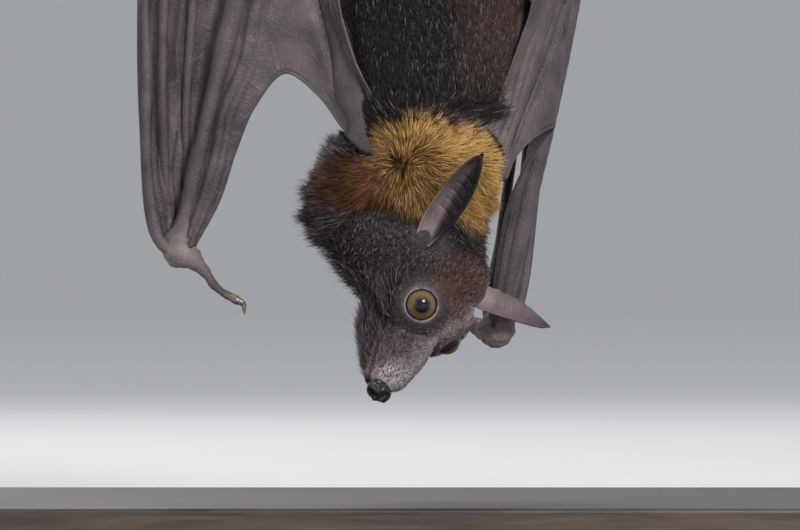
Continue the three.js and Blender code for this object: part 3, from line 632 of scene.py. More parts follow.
add_paint(skin_mesh, np.clip(paint, 0, 1))


def new_material(name, colour=None, roughness=0.5, **settings):
    """A material with plain values set: returns it, its nodes, its shader and Object coordinates."""
    material = bpy.data.materials.new(name)
    material.use_nodes = True
    tree = material.node_tree
    shader = tree.nodes["Principled BSDF"]
    if colour:
        shader.inputs["Base Color"].default_value = (*colour, 1)
    shader.inputs["Roughness"].default_value = roughness
    for socket, value in settings.items():
        shader.inputs[socket.replace("_", " ")].default_value = value
    place = tree.nodes.new("ShaderNodeTexCoord").outputs["Object"]
    return material, tree, shader, place


def add_node(tree, kind, links=None, **settings):
    """A node with its properties and inputs set; an input in links is a value or another socket."""
    node = tree.nodes.new(kind)
    for key, value in settings.items():
        socket = key.replace("_", " ")
        if socket in node.inputs:
            node.inputs[socket].default_value = value
        else:
            setattr(node, key, value)
    for key, value in (links or {}).items():
        if isinstance(value, bpy.types.NodeSocket):
            tree.links.new(value, node.inputs[key])
        else:
            node.inputs[key].default_value = value
    return node


def noise(tree, place, scale, detail, **more):
    """The outputs of a noise texture: Fac and Color."""
    node = add_node(tree, "ShaderNodeTexNoise", {"Vector": place}, Scale=scale, Detail=detail, **more)
    return node.outputs


def ranged(tree, value, **limits):
    """A value taken from one range to another; the ranges run from 0 to 1 unless given."""
    return add_node(tree, "ShaderNodeMapRange", {"Value": value}, **limits).outputs[0]


def stretched_place(tree, place, scale, **more):
    """Coordinates scaled along each axis."""
    return add_node(tree, "ShaderNodeMapping", {"Vector": place}, Scale=scale, **more).outputs[0]


def maths(tree, operation, *values, vector=False, **more):
    """The result of a maths node, or of a vector maths one, on values or sockets."""
    kind = "ShaderNodeVectorMath" if vector else "ShaderNodeMath"
    return add_node(tree, kind, dict(enumerate(values)), operation=operation, **more).outputs[0]


def colour_ramp(tree, share, *stops):
    """A colour that runs through these stops, each a position and a colour."""
    node = add_node(tree, "ShaderNodeValToRGB", {"Fac": share})
    bands = node.color_ramp.elements
    for band, (position, colour) in zip(bands, (stops[0], stops[-1])):
        band.position, band.color = position, (*colour, 1)
    for position, colour in stops[1:-1]:
        bands.new(position).color = (*colour, 1)
    return node.outputs["Color"]


def bumped(tree, shader, height, strength, distance, **over):
    """Gives a shader a bump from a height, over another bump's normal if there is one."""
    bump = add_node(tree, "ShaderNodeBump", {"Height": height, **over},
                    Strength=strength, Distance=distance)
    tree.links.new(bump.outputs[0], shader.inputs["Normal"])
    return bump.outputs[0]


def creased_skin():
    """Node group: the creases and pores of bare skin, as a height and a tone."""
    group = bpy.data.node_groups.new("creased_skin", "ShaderNodeTree")
    for name, way, kind in (("Place", "INPUT", "Vector"), ("Scale", "INPUT", "Float"),
                            ("Height", "OUTPUT", "Float"), ("Tone", "OUTPUT", "Float")):
        group.interface.new_socket(name, in_out=way, socket_type=f"NodeSocket{kind}")
    entry = group.nodes.new("NodeGroupInput")
    leave = group.nodes.new("NodeGroupOutput")
    place = entry.outputs["Place"]
    bend = maths(group, "SCALE", noise(group, place, 160.0, 2.0)["Color"], vector=True, Scale=0.004)
    warped = maths(group, "ADD", place, bend, vector=True)
    cells = add_node(group, "ShaderNodeTexVoronoi",
                     {"Vector": warped, "Scale": entry.outputs["Scale"]}, feature="DISTANCE_TO_EDGE")
    edge = ranged(group, cells.outputs["Distance"], From_Max=0.25)
    height = maths(group, "ADD", edge, noise(group, place, 1400.0, 3.0)["Fac"])
    group.links.new(height, leave.inputs["Height"])
    group.links.new(noise(group, place, 90.0, 4.0)["Fac"], leave.inputs["Tone"])
    return group


CREASED_SKIN = creased_skin()


def creased(tree, shader, colour, place, scale, strength, distance):
    """Gives a shader creased skin: its tone varies the colour, its height goes to the bump."""
    creases = tree.nodes.new("ShaderNodeGroup")
    creases.node_tree = CREASED_SKIN
    tree.links.new(place, creases.inputs["Place"])
    creases.inputs["Scale"].default_value = scale
    tone = ranged(tree, creases.outputs["Tone"], From_Min=0.3, From_Max=0.7, To_Min=0.68, To_Max=1.3)
    shaded = maths(tree, "MULTIPLY", colour, tone, vector=True)
    tree.links.new(shaded, shader.inputs["Base Color"])
    return bumped(tree, shader, creases.outputs["Height"], strength, distance)


skin_finish, tree, shader, place = new_material("bare_skin", roughness=0.50, Specular_IOR_Level=0.35)
coat_layer = add_node(tree, "ShaderNodeVertexColor", layer_name="coat")
creased(tree, shader, coat_layer.outputs["Color"], place, 900.0, 0.5, 0.0003)
skin_mesh.materials.append(skin_finish)


# ---------------------------------------------------------------- coat
# Fur in thin tapered tufts, each a small closed solid rooted in the skin and bent along the lie
# of the coat: from nose to nape on the head, out from a whorl on the mantle, and from neck to
# tail on the body. They are shortest on the face, and stand out furthest on the mantle.
hide.calc_loop_triangles()
corner_index = np.empty(len(hide.loop_triangles) * 3, int)
hide.loop_triangles.foreach_get("vertices", corner_index)
corner_index = corner_index.reshape(-1, 3)
hide_places, hide_normals = corners_of(hide), normals_of(hide)
a, b, c = (hide_places[corner_index[:, k]] for k in range(3))
face_areas = np.linalg.norm(np.cross(b - a, c - a), axis=1) / 2

forward, up, side = head_place(hide_places)
x, y, z = hide_places.T / MM
furriness = values[:, 1] * rise(values[:, 1], 0.12, 0.4)
for name in EYES:
    out, off = about_eye(hide_places, name)
    furriness *= np.where(out > -3, rise(off, 6.7, 7.6), 1)
off_lip = above_lips(forward, up)
face_front = rise(forward, -34, -28) * (np.hypot(side, up + 12) < 40)
furriness *= 1 - face_front * rise(forward, 27, 30)
furriness *= rise(off_shoulder(hide_places), 0.3, 1.0)
furriness *= 1 - face_front * rise(forward, 5, 9) * bell(off_lip, 1.2)
on_neck = (1 - face_front) * rise(-z, -158, -148)
on_trunk = (1 - face_front) * (1 - on_neck)
on_limb = rise(values[:, 0], 0.3, 0.8) * (1 - rise(values[:, 0], 3.05, 3.3)) * (1 - face_front)


def flow(points, normals, kind):
    """The lie of the coat at each point, and how steeply its tufts stand, in radians."""
    forward, up, side = head_place(points)
    x, y, z = points.T / MM
    upwards = np.array((0.0, 0.0, 1.0))
    if kind == "head":
        lie = np.tile(-FORWARD, (len(points), 1))
        for centre, axis in EYES.values():
            away = points - centre
            gap = np.linalg.norm(away, axis=1)[:, None] / MM
            lie += away / MM / gap * bell(gap - 6, 5) * 0.9
        lift = np.interp(forward, (-34, -10, 10, 25), (0.62, 0.42, 0.34, 0.32))
        lift += 0.35 * rise(-normals[:, 0], 0.35, 0.85) * rise(-up, 4, 14)
    elif kind == "mantle":
        out = (points - WHORL) / (13 * MM)
        out = out / np.maximum(np.linalg.norm(out, axis=1, keepdims=True), 1)
        lie = out + 0.35 * upwards * rise(z, 122, 140)[:, None]
        lie += (-0.5, 0, 0.25) * rise(-x, 4, 24)[:, None]
        lie += 0.40 * drift_way(points, 6.5, 25)
        lift = 0.60 + 0.22 * rise(-x, 8, 30) + 0.15 * rise(y, 5, 25) + 0.30 * drift(points, 3.0, 28)
    else:
        lie = upwards + 0.1 * drift_way(points, 14, 21)
        lift = np.full(len(points), 0.22) + 0.12 * rise(y, 5, 20)
    lie += 0.34 * drift_way(points, 3.2, 31)
    lie += 0.22 * drift_way(points, 1.3, 41)
    lie = unit(lie - (lie * normals).sum(1, keepdims=True) * normals)
    return lie, lift


def off_ears(points):
    """How far each point is from the nearer ear's axis, in millimetres."""
    nearer = np.full(len(points), 99.0)
    for base, axis in EAR_ROOTS.values():
        away = (points - head_point(*base)) / MM
        leaning = head_way(axis)
        beside = np.linalg.norm(away - np.clip(away @ leaning, -2, 26)[:, None] * leaning, axis=1)
        nearer = np.minimum(nearer, beside)
    return nearer


furriness *= rise(off_ears(hide_places), 4.5, 7)


def coat_length(points, normals, kind):
    """How long the tufts are at each point, in millimetres."""
    forward, up, side = head_place(points)
    x, y, z = points.T / MM
    clear_of_ears = 0.4 + 0.6 * rise(off_ears(points), 7, 13)
    if kind == "head":
        length = np.interp(forward, (-34, -20, -4, 8, 22), (5.2, 3.7, 2.6, 2.1, 1.6))
        for centre, axis in EYES.values():
            length *= 0.55 + 0.45 * rise(gap_to(points, centre), 8, 14)
        jowl = rise(-normals[:, 0], 0.35, 0.85) * rise(-up, 4, 14)
        length += jowl * np.interp(forward, (-34, 5, 22, 30), (5.5, 4.5, 3.0, 2.0))
        return length * clear_of_ears
    by_wing = rise(off_shoulder(points), 0, 9)
    if kind == "mantle":
        length = 9.0 + 2.0 * rise(-normals[:, 0], 0.3, 0.9) + 1.2 * rise(x, 22, 34)
        length *= 0.7 + 0.3 * rise(z, 108, 124)
        shaggy = rise(-x, 14, 27)
        length = length * (1 - 0.34 * shaggy) + 5.0 * shaggy * np.maximum(drift(points, 3.0, 28), 0)
        return length * (0.35 + 0.65 * by_wing) * clear_of_ears
    return (4.6 + 1.0 * rise(y, 5, 20)) * (0.55 + 0.45 * by_wing)


def unwrapped(points, kind):
    """Where each root lies on a flat unrolling of the skin round the head's or trunk's length."""
    if kind == "head":
        forward, up, side = head_place(points)
        turn, run = np.arctan2(side, up + 12), (forward + 42) / 80
    else:
        x, y, z = points.T / MM
        turn = np.arctan2(x - 11, -(y - 3))
        run = (z - 85) / 75 if kind == "mantle" else (z - 140) / 260
    return np.stack([turn / (2 * math.pi) + 0.5, run], 1) * 0.98 + 0.01


# A tuft: a ring of three corners at its root, another at its bend, and its tip. Its root is sunk
# ROOT_SUNK millimetres in the skin, and its patch on the OFBake map is 0.003 across.
ROOT_SUNK = 0.25
TUFT_CORNERS = 7
TUFT_FACES = np.array([(0, 2, 1), (0, 1, 3), (1, 4, 3), (1, 2, 4), (2, 5, 4), (2, 0, 5), (0, 3, 5),
                       (3, 4, 6), (4, 5, 6), (5, 3, 6)])
TUFT_PATCH = 0.0015 * np.array([(-1, -1), (0, -1), (1, -1), (-1, 0), (0, 0), (1, 0), (0, 1)])


def grow_coat(name, kind, weight, count, seed, width=0.16):
    """One piece of the coat: count tufts scattered over the skin where weight is above 0."""
    rng = np.random.default_rng(seed)
    chance = weight[corner_index].mean(1) * face_areas
    face = rng.choice(len(chance), count, p=chance / chance.sum())
    share = rng.random((count, 2))
    share = np.where(share.sum(1, keepdims=True) > 1, 1 - share, share)
    share = np.hstack([share, 1 - share.sum(1, keepdims=True)])[:, :, None]
    roots = (hide_places[corner_index[face]] * share).sum(1)
    normals = unit((hide_normals[corner_index[face]] * share).sum(1))
    lie, lift = flow(roots, normals, kind)
    lift *= rng.uniform(0.7, 1.4, count)
    length = coat_length(roots, normals, kind) * rng.uniform(0.62, 1.25, count) * MM
    stray = rng.normal(0, 0.10, (count, 3))
    rising = unit(lie * np.cos(lift)[:, None] + normals * np.sin(lift)[:, None] + stray)
    falling = unit(rising + 0.45 * lie - 0.30 * normals + 0.8 * stray)
    across = unit(np.cross(rising, normals))
    over = np.cross(across, rising)
    middle = roots + rising * (0.52 * length)[:, None]
    tip = middle + falling * (0.48 * length)[:, None]
    roots = roots - normals * ROOT_SUNK * MM
    wide = (width * rng.uniform(0.8, 1.25, count) * MM)[:, None]
    corners = np.empty((count, TUFT_CORNERS, 3))
    for k in range(3):
        turn = 2 * math.pi * k / 3 + math.pi / 2
        ring = across * math.cos(turn) + over * math.sin(turn) * 0.55
        corners[:, k] = roots + ring * wide
        corners[:, 3 + k] = middle + ring * wide * 0.8
    corners[:, 6] = tip
    loops = (TUFT_FACES.ravel()[None, :] + TUFT_CORNERS * np.arange(count)[:, None]).ravel()
    mesh = bpy.data.meshes.new(name)
    mesh.vertices.add(count * TUFT_CORNERS)
    mesh.loops.add(len(loops))
    mesh.polygons.add(len(loops) // 3)
    mesh.loops.foreach_set("vertex_index", loops.astype(np.int32))
    mesh.polygons.foreach_set("loop_start", np.arange(0, len(loops), 3, dtype=np.int32))
    mesh.vertices.foreach_set("co", corners.ravel())
    mesh.update(calc_edges=True)
    colours, tips, tipped = coat_colours(roots + rng.normal(0, 0.0011, (count, 3)))
    low, high = (0.42, 1.46) if kind == "mantle" else (0.62, 1.34)
    tone = rng.uniform(low, high, (count, 1))
    colours = colours * tone
    pale = (rng.random(count) < tipped) * rng.uniform(0.45, 1.0, count)
    tip_colours = blend(colours * 1.4, tips, pale)
    middle_colours = blend(colours, tips, pale * 0.28)
    levels = [colours * 0.34] * 3 + [middle_colours] * 3 + [tip_colours]
    add_paint(mesh, np.clip(np.stack(levels, 1).reshape(-1, 3), 0, 1))
    spot = unwrapped(roots, kind)
    spread = (spot[:, None, :] + TUFT_PATCH[None]).reshape(-1, 2)
    layer = mesh.uv_layers.new(name="OFBake")
    layer.data.foreach_set("uv", spread[loops].ravel())
    mesh.shade_smooth()
    piece = add_piece(name, mesh, coat_finish)
    return piece


coat_finish, tree, shader, place = new_material("fur", roughness=0.55, Specular_IOR_Level=0.22)
coat_layer = add_node(tree, "ShaderNodeVertexColor", layer_name="coat")
tone = ranged(tree, noise(tree, place, 700.0, 2.0)["Fac"], To_Min=0.6, To_Max=1.4)
shaded = maths(tree, "MULTIPLY", coat_layer.outputs["Color"], tone, vector=True)
tree.links.new(shaded, shader.inputs["Base Color"])

TUFTS = 19500
neck_fur = furriness * on_neck
body_fur = furriness * on_trunk * (1 - on_limb)
limb_fur = furriness * on_trunk * on_limb
grow_coat("coat_head", "head", furriness * face_front * (1 + 1.7 * rise(forward, -6, 10)), TUFTS,
          1, width=0.125)
grow_coat("coat_nape", "mantle", neck_fur * rise(-y, -2, 2) * rise(x, -8, -5), TUFTS,
          2)
grow_coat("coat_neck_side", "mantle", neck_fur * rise(-y, -4, 0) * rise(-x, 4, 7), TUFTS,
          3)
grow_coat("coat_throat", "mantle", neck_fur * rise(y, -1, 3), TUFTS, 4)
grow_coat("coat_back", "body", body_fur * rise(-y, -3, 3), TUFTS, 5)
grow_coat("coat_belly", "body", body_fur * rise(y, -3, 3), TUFTS, 6)
grow_coat("coat_limbs", "body", limb_fur, TUFTS * 2 // 3, 7)


# ---------------------------------------------------------------- eyes
# Large round eyes, set at the sides of the face and looking a little up: a clear bulging cornea
# over a golden-brown iris, a black pupil with a faint blue painted reflection, and a dark white.
# Always wet, so they shine.
eye_finish, tree, shader, place = new_material(
    "eye", roughness=0.35, Coat_Weight=0.45, Coat_Roughness=0.02, Specular_IOR_Level=0.15)
look = add_node(tree, "ShaderNodeAttribute", attribute_name="look")
sway = maths(tree, "MULTIPLY_ADD", noise(tree, place, 1500.0, 3.0)["Fac"], 0.03, -0.015)
# From the pupil, whose faint blue is a painted reflection, through the rings of the iris, to the white.
iris = colour_ramp(tree, maths(tree, "ADD", look.outputs["Fac"], sway),
                   (0.110, (0.002, 0.004, 0.010)), (0.124, (0.030, 0.017, 0.008)),
                   (0.150, (0.075, 0.044, 0.016)), (0.215, (0.150, 0.096, 0.036)),
                   (0.275, (0.120, 0.080, 0.036)), (0.300, (0.040, 0.026, 0.014)),
                   (0.325, (0.02, 0.014, 0.012)), (0.60, (0.035, 0.022, 0.022)))
tree.links.new(iris, shader.inputs["Base Color"])
for name, (centre, axis) in EYES.items():
    ball = bmesh.new()
    bmesh.ops.create_uvsphere(ball, u_segments=64, v_segments=48, radius=EYE_RADIUS * MM)
    turn = Vector((0, 0, 1)).rotation_difference(Vector(GAZES[name])).to_matrix()
    bmesh.ops.rotate(ball, cent=(0, 0, 0), matrix=turn, verts=ball.verts)
    bmesh.ops.translate(ball, vec=Vector(centre), verts=ball.verts)
    eye_mesh = mesh_from(ball, f"eyeball_{name}")
    spots = corners_of(eye_mesh)
    outward = unit(spots - centre)
    angle = np.degrees(np.arccos(np.clip(outward @ GAZES[name], -1, 1)))
    cornea = 0.45 * np.clip(1 - (angle / 48) ** 2, 0, 1) ** 2
    set_corners(eye_mesh, shifted(spots, outward, cornea))
    layer = eye_mesh.attributes.new("look", "FLOAT", "POINT")
    layer.data.foreach_set("value", angle / 180)
    eye_mesh.shade_smooth()
    eyeball = add_piece(f"eyeball_{name}", eye_mesh, eye_finish)
    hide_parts(f"eye_{name}")


# ---------------------------------------------------------------- nose
# A bare black wet pad at the tip of the muzzle, parted by a groove, with a round nostril on each
# side that opens forwards and outwards.
NOSE_FORWARD = 31.6
NOSE_UP = -5.5
NOSTRIL_SIDE = 2.85
pad = bmesh.new()
bmesh.ops.create_icosphere(pad, subdivisions=6, radius=1)
nose_mesh = mesh_from(pad, "nose")
ball = corners_of(nose_mesh)
ahead, above, aside = ball.T
forward = NOSE_FORWARD + 4.0 * ahead
up = NOSE_UP + 4.5 * above - 0.25 * ahead
side = 5.5 * aside * (1 + 0.10 * above)
facing = rise(ahead, -0.1, 0.35)
sunk = 1.0 * bell(side, 0.75) * facing
for sign in (-1, 1):
    out = side * sign - NOSTRIL_SIDE
    gap = np.hypot((side - NOSTRIL_SIDE * sign) * 0.95, up + 5.2 + 0.25 * out)
    sunk += (2.6 * bell(gap, 1.25, 4) - 0.55 * bell(gap - 2.0, 0.75)) * facing
    slit = np.hypot(np.clip(side * sign - 3.4, 0, 1.6) - (side * sign - 3.4), (up + 6.3) * 1.8)
    sunk += 0.8 * bell(slit, 0.55) * facing
spots = np.array([head_point(f, u, s) for f, u, s in zip(forward, up, side)])
outward = unit(ahead[:, None] * FORWARD + above[:, None] * CROWNWARD + aside[:, None] * LEFTWARD)
sunk += 0.10 * drift(spots, 0.9, 51)
set_corners(nose_mesh, shifted(spots, -outward, sunk))
nose_mesh.shade_smooth()
nose_finish, tree, shader, place = new_material(
    "wet_nose", roughness=0.20, Coat_Weight=0.3, Coat_Roughness=0.03)
NOSE_BLACK = (0.009, 0.008, 0.010)
creased(tree, shader, NOSE_BLACK, place, 1500.0, 0.55, 0.00025)
nose = add_piece("nose", nose_mesh, nose_finish)
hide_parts("nose_pad")


# ---------------------------------------------------------------- ears
# Bare pointed ears, each one thin leaf of skin rolled about its length: tight at the root, open
# at the tip, with a thickened rim, fine veins and seven cross ridges inside. Their colour carries
# painted light: the right ear's half towards the camera's right is painted black as shade, the
# left ear is painted brighter and the right one a little darker, and both are paler at the root,
# partly as a painted highlight.
EAR_LENGTH = 38
EAR_HALF_WIDTH = 6.4
EAR_THICKNESS = 0.8
EAR_RIM = 0.62
EDGE_POINTS = 40
# Which ear has black painted as shade on its half towards the camera's right.
SHADED_SIDE = {"right": 1, "left": 0}
# Each ear's colour is scaled as painted light: the left one brightened as a painted highlight, the right
# one a little darkened as painted shade.
EAR_PAINTED_LIGHTING = {"right": 0.85, "left": 1.7}
# The root's pale pink is partly the skin's own colour and partly a painted highlight.
EAR_PINK_AND_HIGHLIGHT = (0.26, 0.195, 0.20)
EAR_BROWN = (0.095, 0.072, 0.078)
EAR_TIP = (0.030, 0.023, 0.026)
# The black painted as shade on one half of an ear.
EAR_PAINTED_SHADE = (0.008, 0.007, 0.008)
VEIN_RED = (0.14, 0.06, 0.065)
# Each ear's root, the way it points and the way it opens, in the head's own axes.
EARS = {
    "right": ((-26, -8.5, -21), (-0.66, 0.43, -0.62), (0.66, -0.05, -0.75)),
    "left": ((-24, -5, 14), (-0.24, 0.39, 0.89), (0.60, -0.55, 0.40)),
}


def shaped_sheet(name, columns, rows, shape, relief=None):
    """A sheet over a grid of shares along and across, bent to shape, then raised by its relief."""
    form = bmesh.new()
    form.loops.layers.uv.new("UVMap")
    bmesh.ops.create_grid(form, x_segments=columns, y_segments=rows, size=0.5, calc_uvs=True)
    mesh = mesh_from(form, name)
    flat = corners_of(mesh)
    flat = (flat - flat.min(0)) / np.maximum(flat.max(0) - flat.min(0), 1e-9)
    along, across = flat[:, 0], flat[:, 1]
    spots = shape(along, across)
    set_corners(mesh, spots)
    if relief:
        set_corners(mesh, shifted(spots, normals_of(mesh), relief(along, across, spots)))
    return mesh


def thickened(mesh, thickness, *, rim=None, rim_radius=0.5):
    """Gives a sheet its thickness, half to each side, and rounds its free edge with a bead."""
    form = bmesh.new()
    join_in(form, shaped_mesh(mesh, ("SOLIDIFY", {"thickness": thickness * MM, "offset": 0})))
    if rim is not None:
        radii = [rim_radius * 0.7, rim_radius, rim_radius, rim_radius * 0.7]
        join_in(form, tube(rim, radii, sides=8, samples=len(rim)))
    form.to_mesh(mesh)
    form.free()
    mesh.shade_smooth()


def ear_shape(base, axis, opening):
    """A leaf rolled about its axis, with its hollow side towards the opening."""
    root = head_point(*base)
    axis, opening = head_way(axis), head_way(opening)
    across = unit(np.cross(axis, opening))
    facing = unit(np.cross(across, axis))

    def shape(along, spread):
        t, spread = along * 1.1 - 0.1, 2 * spread - 1
        width = EAR_HALF_WIDTH * np.maximum(0.55 + 1.6 * t - 2.15 * t * t, 0) ** 0.8 + 0.35
        roll = 1.5 - 0.9 * np.maximum(t, 0)
        radius = width / np.sin(roll)
        reach = EAR_LENGTH * t + 1.5 * (1 - spread ** 2) * t
        depth = radius * (1 - np.cos(roll * spread)) * 0.9 - 2.5 * np.sin(math.pi * t)
        return root + (reach[:, None] * axis + (radius * np.sin(roll * spread))[:, None] * across
                       + depth[:, None] * facing) * MM
    return shape


def ear_relief(along, spread, spots):
    """Cross ridges inside the leaf, over soft creases, in millimetres."""
    t, spread = along * 1.1 - 0.1, 2 * spread - 1
    ridges = np.maximum(np.sin(2 * math.pi * (t * 9.5 + 0.25 * spread)), 0) ** 1.5
    ridges = 0.42 * ridges * rise(t, 0.12, 0.24) * rise(-t, -0.80, -0.66)
    ridges *= rise(-abs(spread), -0.75, -0.45)
    return ridges + 0.16 * drift(spots, 3.5, 61) + 0.05 * drift(spots, 1.2, 62)


ear_finish, tree, shader, place = new_material(
    "ear_skin", roughness=0.45, Subsurface_Weight=0.12, Subsurface_Scale=0.002,
    Specular_IOR_Level=0.25)
ear_layer = add_node(tree, "ShaderNodeVertexColor", layer_name="coat")
creased(tree, shader, ear_layer.outputs["Color"], place, 1100.0, 0.30, 0.0002)
for name, (base, axis, opening) in EARS.items():
    shape = ear_shape(base, axis, opening)
    ear_mesh = shaped_sheet(f"ear_{name}_leaf", 120, 48, shape, ear_relief)
    there, back = np.linspace(0, 1, EDGE_POINTS), np.linspace(1, 0, EDGE_POINTS)
    side_of = np.repeat([0.0, 1.0], EDGE_POINTS)
    edge = shape(np.concatenate([there, back]), side_of) / MM
    thickened(ear_mesh, EAR_THICKNESS, rim=edge, rim_radius=EAR_RIM)
    spots = corners_of(ear_mesh)
    lengthwise = head_way(axis)
    t = (spots - head_point(*base)) @ lengthwise / MM / EAR_LENGTH
    # The direction across the ear towards the camera's right, along which the shade is painted.
    towards_camera_right = unit(np.cross(np.cross(lengthwise, (1, 0, 0)), lengthwise))
    spread = (spots - head_point(*base)) @ towards_camera_right / MM / EAR_HALF_WIDTH
    veins = np.abs(drift(spots, 3.5, 63))
    # Paler at the root, partly as a painted highlight, and darker to the tip, with black painted as
    # shade on the SHADED_SIDE ear's half towards the camera's right.
    ear_colours = layered(EAR_PINK_AND_HIGHLIGHT, (EAR_BROWN, rise(t, 0.08, 0.55)), (EAR_TIP, rise(t, 0.72, 1.0)),
                          (EAR_PAINTED_SHADE, 0.96 * rise(spread * SHADED_SIDE[name], -0.15, 0.2)),
                          (VEIN_RED, 0.35 * rise(-veins, -0.10, -0.02)))
    # Each ear's colours are scaled by its painted light.
    add_paint(ear_mesh, ear_colours * EAR_PAINTED_LIGHTING[name])
    ear = add_piece(f"ear_{name}_leaf", ear_mesh, ear_finish)
    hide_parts(f"ear_{name}")


# ---------------------------------------------------------------- wing membranes
# Thin double skin, elastic and hairless: a front sheet before elbow and wrist, a main sheet from
# the flank and leg to the elbow, and three pleated panels between the folded fingers. Its free
# edges are thickened, and muscle fibres and veins run through it.
SHEET_THICKNESS = 0.7
MEMBRANES = {
    "right": dict(
        front_edge=[(-11, -8, 139), (-20.4, -6, 148), (-30, -3, 161), (-42.6, 0, 169.4),
                    (-54, 2, 157), (-61, 2, 140.5), (-67, 1, 122), (-76, 1, 105)],
        flank=[(-7, -17, 154), (-16, -17, 172), (-22.5, -15, 196), (-23, -12, 230),
               (-18, -8, 262), (-11, -6, 284), (-38, -22, 338), (-9, -7, 392)],
        sheet_top=(-58, 17, 281),
        trailing=[(-62, 14, 312), (-51, 4, 348), (-27, -4, 378)],
        sag=(-3, 3, 0), pleat=(0, 5, 0),
    ),
    "left": dict(
        front_edge=[(36.5, -7, 128), (44.4, -3, 140.5), (50, 2, 146), (57, 9, 149.6),
                    (51.5, 15, 142), (46, 19, 133), (40, 23, 118), (33.5, 27, 78)],
        flank=[(32, -18, 148), (41, -17, 172), (48.5, -15, 196), (47, -12, 230),
               (39, -8, 262), (31, -6, 284), (58, -22, 338), (29, -7, 392)],
        sheet_top=(71, 38, 256),
        trailing=[(76, 32, 290), (69, 16, 340), (46, -1, 378)],
        sag=(4, -2, 0), pleat=(4, 0, 0),
    ),
}


def between(first, second):
    """The point at any share of the way from the first to the second."""
    first, second = np.array(first, float), np.array(second, float)
    return lambda share: first + share * (second - first)


def stretched(near, far, sag):
    """A sheet that runs straight between two smooth paths and sags to one side between them."""
    def shape(along, across):
        one, other = curve_through(near, along), curve_through(far, along)
        return (one + (other - one) * across[:, None]
                + np.sin(math.pi * across)[:, None] * np.array(sag)) * MM
    return shape


def pleated(near, far, fold, reach=0.985):
    """A hand panel: it folds out of the plane of its two bones, further where it is wider."""
    def shape(along, across):
        one, other = curve_through(near, along * reach), curve_through(far, along * reach)
        span = np.linalg.norm(other - one, axis=1)
        depth = np.clip((span - 6) / 9, 0, 1) * np.sin(math.pi * (0.15 + 0.8 * along))
        depth *= np.sin(math.pi * across)
        return (one + (other - one) * across[:, None] + depth[:, None] * np.array(fold)) * MM
    return shape


def sheet_relief(pleats, depth, seed):
    """Soft folds along the sheet, which fade at its bones, over smaller creases."""
    def relief(along, across, spots):
        wave = np.sin(2 * math.pi * (pleats * across + 0.55 * drift(spots, 22, seed)))
        folds = depth * wave * np.sin(math.pi * across) ** 0.7
        return folds + 0.30 * drift(spots, 7, seed + 1) + 0.12 * drift(spots, 2.2, seed + 2)
    return relief


wing_finish, tree, shader, place = new_material("wing_membrane", roughness=0.44, Specular_IOR_Level=0.4)
along_fibres = add_node(tree, "ShaderNodeUVMap", uv_map="UVMap").outputs["UV"]
wing_colour = colour_ramp(tree, noise(tree, place, 38.0, 5.0)["Fac"],
                          (0.32, (0.040, 0.031, 0.033)), (0.70, (0.105, 0.083, 0.086)))
fibres = noise(tree, stretched_place(tree, along_fibres, (7.0, 110.0, 1.0)), 1.0, 3.0)["Fac"]
creases = creased(tree, shader, wing_colour, place, 520.0, 0.45, 0.00025)
veins = add_node(tree, "ShaderNodeTexVoronoi", {"Vector": place}, feature="DISTANCE_TO_EDGE", Scale=75.0)
raised = ranged(tree, veins.outputs["Distance"], From_Max=0.07, To_Min=0.8, To_Max=0.0)
bumped(tree, shader, maths(tree, "ADD", fibres, raised), 0.5, 0.0004, Normal=creases)

for name, wing in WINGS.items():
    edges_of_wing = MEMBRANES[name]
    up_arm = between(wing["shoulder"], wing["elbow"])
    up_forearm = between(wing["wrist"], wing["elbow"])
    front = edges_of_wing["front_edge"]
    arm = [up_arm(0), up_arm(0.5), up_arm(1)]
    bones = arm + [up_forearm(0.67), up_forearm(0.34), up_forearm(0)]
    outer = arm + [edges_of_wing["sheet_top"], *edges_of_wing["trailing"], wing["ankle"]]
    trailing = np.linspace(3 / 7, 0.985, 60)
    # Name, shape, grid, relief, free edge, that edge's radius and the node replaced.
    pieces = [
        ("propatagium", stretched(front, bones, (0, -3.5, 0)), (130, 40), (3, 0.35, 70),
         curve_through(front, np.linspace(0, 1, 90)), 0.75, f"propatagium_{name}"),
        ("plagiopatagium", stretched(edges_of_wing["flank"], outer, edges_of_wing["sag"]), (170, 60),
         (5, 0.55, 80), curve_through(outer, trailing), 0.7, f"plagiopatagium_{name}"),
    ]
    along_forearm = [up_forearm(share) for share in (0, 1 / 3, 2 / 3, 1)] + [edges_of_wing["sheet_top"]]
    paths = [along_forearm] + [finger_path(wing, finger) for finger in (3, 2, 1)]
    for panel in range(3):
        shape = pleated(paths[panel], paths[panel + 1], edges_of_wing["pleat"])
        pieces.append((f"panel_{panel + 1}", shape, (130, 24), (2, 0.45, 90 + 5 * panel), None, 0,
                       f"hand_panel_{panel + 1}_{name}"))
    for label, shape, (columns, rows), relief, rim, rim_radius, replaced in pieces:
        sheet_mesh = shaped_sheet(f"{label}_{name}_sheet", columns, rows, shape, sheet_relief(*relief))
        thickened(sheet_mesh, SHEET_THICKNESS, rim=rim, rim_radius=rim_radius)
        sheet = add_piece(f"{label}_{name}_sheet", sheet_mesh, wing_finish)
        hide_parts(replaced)


# ---------------------------------------------------------------- claws
# Curved horn hooks: one on each thumb and one on each of the ten toes, which lock over the
# branch. Grey-brown, mottled darker and paler.
PERCH_Y = 8
PERCH_Z = 412
PERCH_RADIUS = 10
TOE_SPACING = 3.7 * 1.24
TOE_DISTANCE = 12.6
